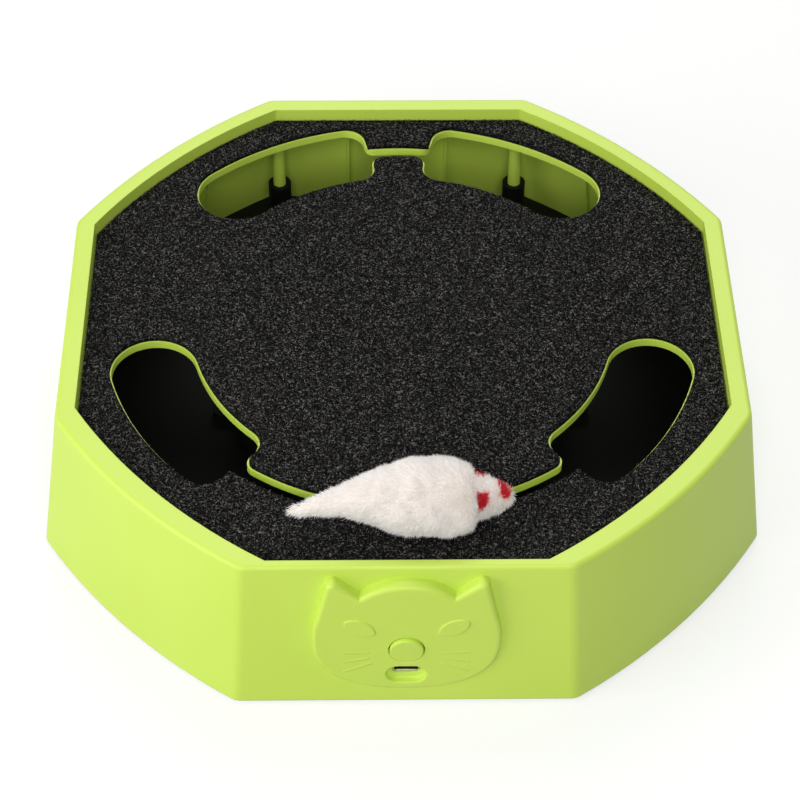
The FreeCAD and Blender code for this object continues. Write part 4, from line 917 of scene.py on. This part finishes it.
# Each row across a form is its place along, half width, lowest and highest point.
body_rows = [(-24, 5.0, 7.5, 15.4), (-19, 6.5, 6.9, 18.3), (-12, 8.9, 4.6, 20.3), (-5.5, 11.3, 2.1, 21.9),
             (1.5, 12.8, 0.2, 23.3), (7.5, 13.3, 0.0, 23.1), (13.5, 13.2, 0.0, 22.8),
             (18.4, 12.4, 0.2, 21.9), (21, 10.2, 1.2, 20.2)]
head_rows = [(15, 7.2, 3.2, 16.8), (17, 7.7, 2.6, 17.7), (21.5, 8.1, 2.3, 18.1), (23.7, 7.5, 3.0, 17.3),
             (27.4, 6.5, 3.9, 16.3), (31.3, 4.6, 5.2, 13.6), (33.8, 2.4, 8.2, 12.4)]
tail_rows = [(-18, 3.6, 9.5, 13.6), (-20, 4.1, 8.7, 14.1), (-24, 4.8, 7.8, 14.6), (-29, 4.5, 7.9, 13.1),
             (-34.6, 3.8, 6.8, 11.1), (-38.2, 2.0, 6.8, 9.3)]


def on_mouse(along, across, height):
    """Point of the mouse in its own directions, put where it stands on the toy."""
    x = along * math.cos(mouse_turn) - across * math.sin(mouse_turn)
    y = along * math.sin(mouse_turn) + across * math.cos(mouse_turn)
    return (mouse_middle[0] + x, mouse_middle[1] + y, mouse_foot + height)


def between(rows, parts):
    """Rows with more added between them on a smooth line through each column."""
    rows = np.array(rows, float)
    ends = np.vstack([2 * rows[0] - rows[1], rows, 2 * rows[-1] - rows[-2]])
    smooth = []
    for a, b, c, d in zip(ends, ends[1:], ends[2:], ends[3:]):
        for t in np.arange(parts) / parts:
            smooth.append(b + (c - a) * t / 2 + (a - 2.5 * b + 2 * c - d / 2) * t**2
                          + (1.5 * (b - c) + (d - a) / 2) * t**3)
    return [*smooth, rows[-1]]


def add_loft(shell, rows, sides=32):
    """Closed form through oval sections, a little inside the pile's surface."""
    rings = []
    for along, half_width, low, high in between(rows, 3):
        wide = max(half_width - skin_inset, 1.0)
        tall = max((high - low) / 2 - skin_inset, 0.8)
        rings.append(shell.ring([on_mouse(along, wide * math.cos(t), (low + high) / 2 + tall * math.sin(t))
                                 for t in round_steps(sides)]))
    shell.bridge(*rings)
    shell.faces += [tuple(rings[0]), tuple(rings[-1])]


def mouse_forms():
    """Body, head and tail in one mesh, then one closed skin of even faces."""
    shell = Shell()
    for rows in (body_rows, head_rows, tail_rows):
        add_loft(shell, rows)
    piece = shell.piece("mouse_skin", white_pile)
    made_mesh(piece, "REMESH", mode="VOXEL", voxel_size=0.9 * MM)
    made_mesh(piece, "SMOOTH", factor=0.5, iterations=2)
    return piece


mouse_skin = mouse_forms()
print("mouse skin:", len(mouse_skin.data.vertices), "points")

# %% [markdown]
# The cloth solver blows the skin up, as the stuffing does, with no gravity. The seams at
# the neck and the tail are pinned, so the plush bulges on both sides of them. No point may
# move more than a cap, which keeps the mouse in the space of its CAD solid.

# %% Mouse: stuffing

seam_half = 1.3
neck_along = 20.0
tail_along = -22.0
puff_frames = 12
puff_cap = 1.3
# The solver's usual values suit a cushion. So small a bag is lighter and needs far more pressure.
skin_mass = 0.001
stuffing_pressure = 8000
skin_stretch = 1.0
skin_bend = 0.01


def along_mouse(point):
    """Place of a point along, across and above the mouse, in millimetres."""
    x = point.x / MM - mouse_middle[0]
    y = point.y / MM - mouse_middle[1]
    along = x * math.cos(mouse_turn) + y * math.sin(mouse_turn)
    across = -x * math.sin(mouse_turn) + y * math.cos(mouse_turn)
    return along, across, point.z / MM - mouse_foot


def stuffed(piece):
    """Blows the skin up with the cloth solver, within the cap."""
    start = [vertex.co.copy() for vertex in piece.data.vertices]
    seams = piece.vertex_groups.new(name="seams")
    for vertex in piece.data.vertices:
        along = along_mouse(vertex.co)[0]
        near = min(abs(along - neck_along), abs(along - tail_along))
        if near < 2 * seam_half:
            seams.add([vertex.index], min(1.0, 2 - near / seam_half), "REPLACE")
    modifier = piece.modifiers.new("Cloth", "CLOTH")
    set_all(modifier.settings, mass=skin_mass, quality=4, vertex_group_mass="seams",
            use_pressure=True, uniform_pressure_force=stuffing_pressure,
            tension_stiffness=skin_stretch, compression_stiffness=skin_stretch,
            shear_stiffness=skin_stretch / 3, bending_stiffness=skin_bend)
    modifier.settings.effector_weights.gravity = 0
    modifier.point_cache.frame_end = puff_frames
    for frame_number in range(1, puff_frames + 1):
        scene.frame_set(frame_number)
    mesh = evaluated(piece)
    piece.modifiers.remove(modifier)
    scene.frame_set(1)
    for vertex, rest in zip(mesh.vertices, start):
        move = vertex.co - rest
        vertex.co = rest + move * min(1.0, puff_cap * MM / max(move.length, 1e-9))
    piece.data = mesh
    moved = [(vertex.co - rest).length / MM for vertex, rest in zip(mesh.vertices, start)]
    print("stuffing moved the skin by", round(float(np.mean(moved)), 2), "mm on average")


stuffed(mouse_skin)

# %% [markdown]
# Then come small folds and two things that the pile needs to know at each point of the
# skin: which way it is brushed, and whether it is dyed red, as over the snout's tip and in
# two eye patches. The mesh keeps both as attributes, for the node trees and the material.

# %% Mouse: folds, brushing and dye

fold_width = 7.5
fold_depth = 0.8
head_calm = 0.4
brush_down = 0.35
# Each dyed patch: its middle along, its middle's height, half its length, half its height, and
# how far to the side it starts.
dyed_patches = {"eyes": (23.5, 14.3, 2.4, 2.7, 3.0), "snout": (32.6, 13.4, 2.7, 2.3, -1.0)}


def folded(piece):
    """Moves the skin along its normals by slow noise, less on the head."""
    rest = [(vertex.co.copy(), vertex.normal.copy()) for vertex in piece.data.vertices]
    for vertex, (point, normal) in zip(piece.data.vertices, rest):
        wave = noise.noise(point / (fold_width * MM)) + 0.5 * noise.noise(point / (0.45 * fold_width * MM))
        calm = head_calm if along_mouse(point)[0] > neck_along else 1.0
        vertex.co = point + normal * wave * calm * fold_depth * MM


def dye_at(along, across, height):
    """How red the pile is: 1 inside a dyed patch, 0 elsewhere."""
    for middle, level, half_length, half_height, aside in dyed_patches.values():
        reach = math.hypot((along - middle) / half_length, (height - level) / half_height)
        if reach < 1.0 and abs(across) > aside:
            return 1.0
    return 0.0


def marked(piece):
    """Writes the dye and the way the pile is brushed on the skin's points."""
    mesh = piece.data
    dye = mesh.attributes.new("dye", "FLOAT", "POINT")
    brush = mesh.attributes.new("brush", "FLOAT_VECTOR", "POINT")
    tailwards = Vector((-math.cos(mouse_turn), -math.sin(mouse_turn), -brush_down))
    for index, vertex in enumerate(mesh.vertices):
        dye.data[index].value = dye_at(*along_mouse(vertex.co))
        flat = tailwards - vertex.normal * tailwards.dot(vertex.normal)
        brush.data[index].vector = flat.normalized()
    return sum(item.value for item in dye.data) / len(mesh.vertices)


folded(mouse_skin)
print("dyed share of the skin:", round(marked(mouse_skin), 3))

# %% [markdown]
# Plush pile is cut: straight fine hairs, about 2 mm long, that lean the way they were
# brushed and gather in tufts. Each blade here stands for many hairs, and slow noise leans
# neighbours the same way.

# %% Mouse: pile

pile_length = 1.9
pile_width = 0.16
pile_bow = 0.5
pile_per_square_mm = 12.0
red_pile_share = 1.4
brushed = 1.0
tuft_size = 3.6
tuft_lean = 2.1
loose_lean = 0.16


def standing_pile():
    """Tree that puts blades on the skin where the dye suits, leaning as brushed and in tufts."""
    tree, inputs = start_tree("standing_pile", Density="Float", Seed="Int", Dye="Float",
                              Brushed="Float", Tuft="Float", Lean="Float")
    seed = inputs["Seed"]
    dyes = {0: stored(tree, "dye", "FLOAT"), 1: inputs["Dye"], "Epsilon": 0.5}
    suits = add(tree, "FunctionNodeCompare", dyes, operation="EQUAL")
    spread = scattered(tree, inputs, suits.outputs["Result"])
    flat = vectors(tree, "SCALE", stored(tree, "brush", "FLOAT_VECTOR"), Scale=inputs["Brushed"])
    tufts = add(tree, "ShaderNodeTexNoise", {"Scale": inputs["Tuft"], "Detail": 1.0}).outputs["Color"]
    swayed = vectors(tree, "SCALE", vectors(tree, "SUBTRACT", tufts, (0.5, 0.5, 0.5)), Scale=inputs["Lean"])
    loose = chance(tree, (-loose_lean,) * 3, (loose_lean,) * 3, seed)
    aim = spread["Normal"]
    for lean in (flat, swayed, loose):
        aim = vectors(tree, "ADD", aim, lean)
    spin = chance(tree, (0.0, 0.0, 0.0), (0.0, 0.0, full_turn), seed)
    start = add(tree, "FunctionNodeEulerToRotation", {"Euler": spin}).outputs["Rotation"]
    end_tree(tree, inputs, spread["Points"], Rotation=aimed(tree, aim, start),
             Scale=chance(tree, 0.7, 1.3, seed))
    return tree


pile_tree = standing_pile()


def pile(name, finish, slot, dye, density, seed, *nodes):
    """Pile of one colour over the part of the skin that has it."""
    blade = strip_blank("blade", pile_length, pile_width, pile_bow, upright=True)
    piece = grown(name, pile_tree, mouse_skin, {
        "Blank": blade, "Finish": finish, "Density": density / MM**2, "Seed": seed, "Dye": dye,
        "Brushed": brushed, "Tuft": 1 / (tuft_size * MM), "Lean": tuft_lean})
    hand_over(piece, "arm", slot, *nodes)


pile("mouse_white_pile", white_pile, "white_plush", 0.0, pile_per_square_mm, 3)
pile("mouse_red_pile", red_pile, "red_plush", 1.0, pile_per_square_mm * red_pile_share, 8,
     "mouse_nose", "mouse_eyes")

# %% [markdown]
# The skin under the pile is the knitted backing, white or red like the pile above it. Both its colours are a
# little darker than the pile's: painted shade where the skin shows between the tufts.

# %% Mouse: backing


def plush_backing_with_painted_shade(name):
    """Knitted backing, white or red as the dye says, a little darker than the pile as painted shade between
    the tufts.
    """
    material, tree, shader = finish_of(name, 0.95)
    dye = add(tree, "ShaderNodeAttribute", attribute_name="dye").outputs["Fac"]
    loops = grain(tree, 0.6)
    # Both colours sit below the pile's own: painted shade between the tufts.
    white = coloured(tree, shader, loops, (0.3, "#F0E4DA"), (0.7, "#F9F1EA"))
    red = coloured(tree, shader, loops, (0.3, "#C8242F"), (0.7, "#DE3B45"))
    mixed = add(tree, "ShaderNodeMixRGB", {"Fac": dye, "Color1": white, "Color2": red})
    tree.links.new(mixed.outputs["Color"], shader.inputs["Base Color"])
    relief(tree, shader, loops, 0.2)
    return material


mouse_skin.data.materials[0] = plush_backing_with_painted_shade("knitted_backing_with_painted_shade")
hand_over(mouse_skin, "arm", "white_plush", "mouse_body", "mouse_head", "mouse_tail")

# %% [markdown]
# All the screws are pan heads with a cross recess and a row of V rings for a thread.
# Identical screws share one CAD node, so each node is read for the place, size and
# direction of its screws, and one blank is put on each of them.

# %% Screws

# The thread's two sizes are shares of the shank's radius. The cross reaches over a share of
# the flat on the head; half an arm's width is a share of the head's radius, and its depth
# one of the head's height.
thread_pitch = 0.45
thread_core = 0.8
recess_reach = 0.62
recess_width = 0.18
recess_depth = 0.6


def islands(node):
    """Lowest corner, highest corner and points, in mm, of each separate solid of a CAD node."""
    work = cad_copy(node)
    seen = set()
    found = []
    for first in work.verts:
        if first in seen:
            continue
        seen.add(first)
        group = [first]
        for vertex in group:
            beside = [edge.other_vert(vertex) for edge in vertex.link_edges]
            group += [other for other in beside if other not in seen]
            seen.update(beside)
        spots = np.array([vertex.co[:] for vertex in group]) / MM
        found.append((spots.min(0), spots.max(0), spots))
    work.free()
    return found


def screw_sizes(low, high, spots):
    """Axis, if the head is at its top, length, radii of shank and head, and head height of a screw."""
    axis = int(np.argmax(high - low))
    middle = (low + high) / 2
    reach = lengths(np.delete(spots - middle, axis, axis=1))
    wide = spots[reach > (reach.min() + reach.max()) / 2][:, axis]
    return axis, wide.mean() > middle[axis], high[axis] - low[axis], reach.min(), reach.max(), np.ptp(wide)


def cross_outline(reach, half_width):
    """Outline of a cross with four equal arms, counter-clockwise."""
    arm = [(half_width, -half_width), (reach, -half_width), (reach, half_width)]
    quarters = ((1, 0), (0, 1), (-1, 0), (0, -1))
    return np.array([(x * c - y * s, x * s + y * c) for c, s in quarters for x, y in arm])


def screw_blank(length, shank_radius, head_radius, head_height):
    """Screw standing on its tip at the origin."""
    core = thread_core * shank_radius
    pitch = thread_pitch * shank_radius
    seat = length - head_height
    profile = [(0, 0), (0.35 * shank_radius, 0), (core, 1.2 * shank_radius)]
    for turn in range(int((seat - 2 * shank_radius) / pitch)):
        height = 1.3 * shank_radius + turn * pitch
        profile += [(core, height), (shank_radius, height + pitch / 2)]
    profile += [(0.85 * shank_radius, seat), (head_radius, seat)]
    profile += [(head_radius * math.cos(t), seat + head_height * (0.35 + 0.65 * math.sin(t)))
                for t in np.linspace(0, 1.15, 5)]
    flat_radius, top = profile[-1]
    shell = Shell()
    rim = shell.turned(profile, sides=24)
    recess = cross_outline(recess_reach * flat_radius, recess_width * head_radius)
    sides = [(0, 0), (0.05 * head_radius, recess_depth * head_height)]
    mouth, foot = shell.walls(recess, sides, lambda x, y, depth: (x, y, top - depth))
    shell.lid((rim, np.array([shell.points[i][:2] for i in rim])), [mouth])
    shell.lid(foot)
    return shell.piece("screw_blank", zinc_steel, 30)


def placed_blanks():
    """Tree that puts a blank on each point of a mesh, its Z turned to the point's aim."""
    tree, inputs = start_tree("placed_blanks", Size="Float")
    points = add(tree, "GeometryNodeMeshToPoints", {"Mesh": inputs["Carrier"]}).outputs["Points"]
    end_tree(tree, inputs, points, Rotation=aimed(tree, stored(tree, "aim", "FLOAT_VECTOR")),
             Scale=inputs["Size"])
    return tree


blanks_tree = placed_blanks()


def repeated(name, blank, finish, spots, aims):
    """One piece with the blank at each spot, in millimetres, turned to its aim."""
    carrier = make_piece("spots", spots, [], finish)
    aim = carrier.data.attributes.new("aim", "FLOAT_VECTOR", "POINT")
    for item, vector in zip(aim.data, aims):
        item.vector = vector
    piece = grown(name, blanks_tree, carrier, {"Blank": blank, "Finish": finish, "Size": 1.0})
    bpy.data.objects.remove(carrier)
    shade_edges(piece.data, 30)
    return piece


def make_screws(node):
    """All the screws of one CAD node."""
    spots = []
    aims = []
    for low, high, points in islands(node):
        axis, at_top, *sizes = screw_sizes(low, high, points)
        aim = np.zeros(3)
        aim[axis] = 1 if at_top else -1
        spots.append(tuple((low + high) / 2 - aim * sizes[0] / 2))
        aims.append(aim)
    piece = repeated(node + "_detailed", screw_blank(*sizes), zinc_steel, spots, aims)
    hand_over(piece, "case", "steel", node)


for node in ("case_screws", "column_screw", "bracket_screws", "track_screws", "board_screws",
             "holder_screws"):
    make_screws(node)

# %% [markdown]
# The feet are four rubber pads in cups under the base, with three grip rings each.

# %% Rubber feet

foot_edge = 0.5
grip_depth = 0.3


def foot_blank(radius, height):
    """Pad with a rounded lower edge and shallow rings in its face."""
    profile = [(0, height), (radius, height), (radius, foot_edge)]
    profile += [(radius - inset, depth) for inset, depth in rounding(foot_edge)[1:-1]]
    for share in (0.75, 0.5, 0.25):
        middle = radius * share
        profile += [(middle + aside, depth) for aside, depth in
                    ((0.35, 0), (0.2, grip_depth), (-0.2, grip_depth), (-0.35, 0))]
    shell = Shell()
    shell.turned([*profile, (0, 0)])
    return shell.piece("foot_blank", foot_rubber, 50)


def make_feet():
    """Four pads where the CAD has them."""
    found = islands("rubber_feet")
    low, high, _ = found[0]
    blank = foot_blank((high[0] - low[0]) / 2, high[2] - low[2])
    spots = [((a[0] + b[0]) / 2, (a[1] + b[1]) / 2, a[2]) for a, b, _ in found]
    return repeated("feet", blank, foot_rubber, spots, [(0, 0, 1)] * len(spots))


hand_over(make_feet(), "case", "rubber", "rubber_feet")

# %% [markdown]
# Every other CAD node keeps its shape and gets the finish of what it is made of.

# %% Finishes of the CAD nodes

finishes = {
    lime_plastic: ["case_wall"],
    black_plastic: ["base_plate", "motor_bracket", "track_ring", "lift_arm", "button_switch",
                    "switch_plunger", "battery_holder"],
    white_acetal: ["turntable", "drive_pinion", "track_roller", "stem_plug"],
    ground_steel: ["thrust_washer", "hinge_pin", "gear_motor", "motor_shaft", "roller_axle", "mouse_stem"],
    bronze: ["turntable_bush"],
    nickel: ["charging_socket", "battery_contacts"],
    board_finish: ["circuit_board"],
    cell_finish: ["battery_cell"],
}
for finish, nodes in finishes.items():
    for node in nodes:
        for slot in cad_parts[node].material_slots:
            slot.material = finish
print("CAD nodes with a finish:", sum(len(nodes) for nodes in finishes.values()))

# %% [markdown]
# White paper would throw so much light back that every wall looked alike, so the paper is
# light grey and only camera rays and reflections see it as white. It still darkens where
# the toy keeps light off it. Far from the lamps it glows more, and so stays white.

# %% Floor

floor_half = 3.0
floor_drop = 0.05
near_glow = 0.6
far_glow = 0.9
near_floor = 0.4
far_floor = 1.6


def sees_white(tree):
    """1 for rays of the camera and of reflections, which see white, and 0 for others."""
    rays = add(tree, "ShaderNodeLightPath").outputs
    return maths(tree, "MAXIMUM", rays["Is Camera Ray"], rays["Is Glossy Ray"])


def studio_white(name):
    """Matt pale paper that is white to the camera and in mirrors, and throws little light back."""
    material, tree, shader = finish_of(name, 0.9, shine=0.0)
    coloured(tree, shader, grain(tree, 1.5, 3.0), (0.3, "#B2B2B1"), (0.7, "#B6B6B5"))
    place = add(tree, "ShaderNodeTexCoord").outputs["Object"]
    reach = add(tree, "ShaderNodeVectorMath", {0: place}, operation="LENGTH").outputs["Value"]
    level = mapped(tree, reach, near_glow, far_glow, near_floor, far_floor)
    shader.inputs["Emission Color"].default_value = (1, 1, 1, 1)
    tree.links.new(maths(tree, "MULTIPLY", sees_white(tree), level), shader.inputs["Emission Strength"])
    return material


def make_floor():
    """Square sheet of paper just under the toy's feet."""
    half = floor_half / MM
    corners = [(x * half, y * half, -floor_drop) for x, y in ((-1, -1), (1, -1), (1, 1), (-1, 1))]
    make_piece("floor", corners, [(0, 1, 2, 3)], studio_white("white_paper_floor"))


make_floor()

# %% [markdown]
# The room gives a low even light. A broad soft lamp near the camera reaches into the mouse
# holes. A nearer one, low on the left, falls off along the front wall. One above and behind
# gives the rim and the plush their pale upper edges. A colour shows as written where the
# levels add up to 1, as they do on the rim. A lamp's watts come from its level.

# %% Light

room_level = 0.23


def make_room():
    """World that lights evenly, and is white wherever it is seen."""
    world = bpy.data.worlds.new("studio")
    world.use_nodes = True
    tree = world.node_tree
    through = add(tree, "ShaderNodeLightPath").outputs["Is Transmission Ray"]
    level = mapped(tree, maths(tree, "MAXIMUM", sees_white(tree), through), room_level, 1.0)
    background = tree.nodes["Background"].inputs
    background["Color"].default_value = (1, 1, 1, 1)
    tree.links.new(level, background["Strength"])
    scene.world = world


def make_lamp(name, way, level, size, distance):
    """Square soft lamp that lights a white surface facing it to a level, aimed at the toy."""
    way = Vector(way).normalized()
    lamp = bpy.data.lights.new(name, "AREA")
    set_all(lamp, size=size, energy=level * math.pi**2 * distance**2)
    light = bpy.data.objects.new(name, lamp)
    set_all(light, location=way * distance, rotation_euler=way.to_track_quat("Z", "Y").to_euler())
    scene.collection.objects.link(light)
    print(name, "lamp:", round(lamp.energy, 1), "W")


make_room()
make_lamp("front", (0.02, -0.70, 0.71), level=0.37, size=0.6, distance=1.4)
make_lamp("left", (-0.80, -0.45, 0.40), level=0.58, size=0.7, distance=0.9)
make_lamp("back", (0.05, 0.62, 0.78), level=0.43, size=0.9, distance=1.3)

# %% [markdown]
# The camera's place and lens come from the eight corners of the rim in the photograph. It
# looks down by 47 degrees, almost straight on to the cat's face.

# %% Camera

camera_place = Vector((-14.20, -587.10, 638.27)) * MM
camera_pitch = 0.815477
camera_yaw = 0.0237349
camera_roll = 0.0125637
lens_mm = 106.28
sensor_mm = 36.0


def make_camera():
    """Camera from its place, pitch, yaw and roll."""
    level = Vector((math.cos(camera_yaw), -math.sin(camera_yaw), 0))
    ahead = Vector((math.sin(camera_yaw) * math.cos(camera_pitch),
                    math.cos(camera_yaw) * math.cos(camera_pitch), -math.sin(camera_pitch)))
    upright = level.cross(ahead)
    right = level * math.cos(camera_roll) + upright * math.sin(camera_roll)
    up = upright * math.cos(camera_roll) - level * math.sin(camera_roll)
    lens = bpy.data.cameras.new("camera")
    set_all(lens, lens=lens_mm, sensor_width=sensor_mm)
    camera = bpy.data.objects.new("camera", lens)
    turn = Matrix((right, up, -ahead)).transposed().to_4x4()
    camera.matrix_world = Matrix.Translation(camera_place) @ turn
    scene.collection.objects.link(camera)
    scene.camera = camera


make_camera()
scene.view_settings.view_transform = "Standard"
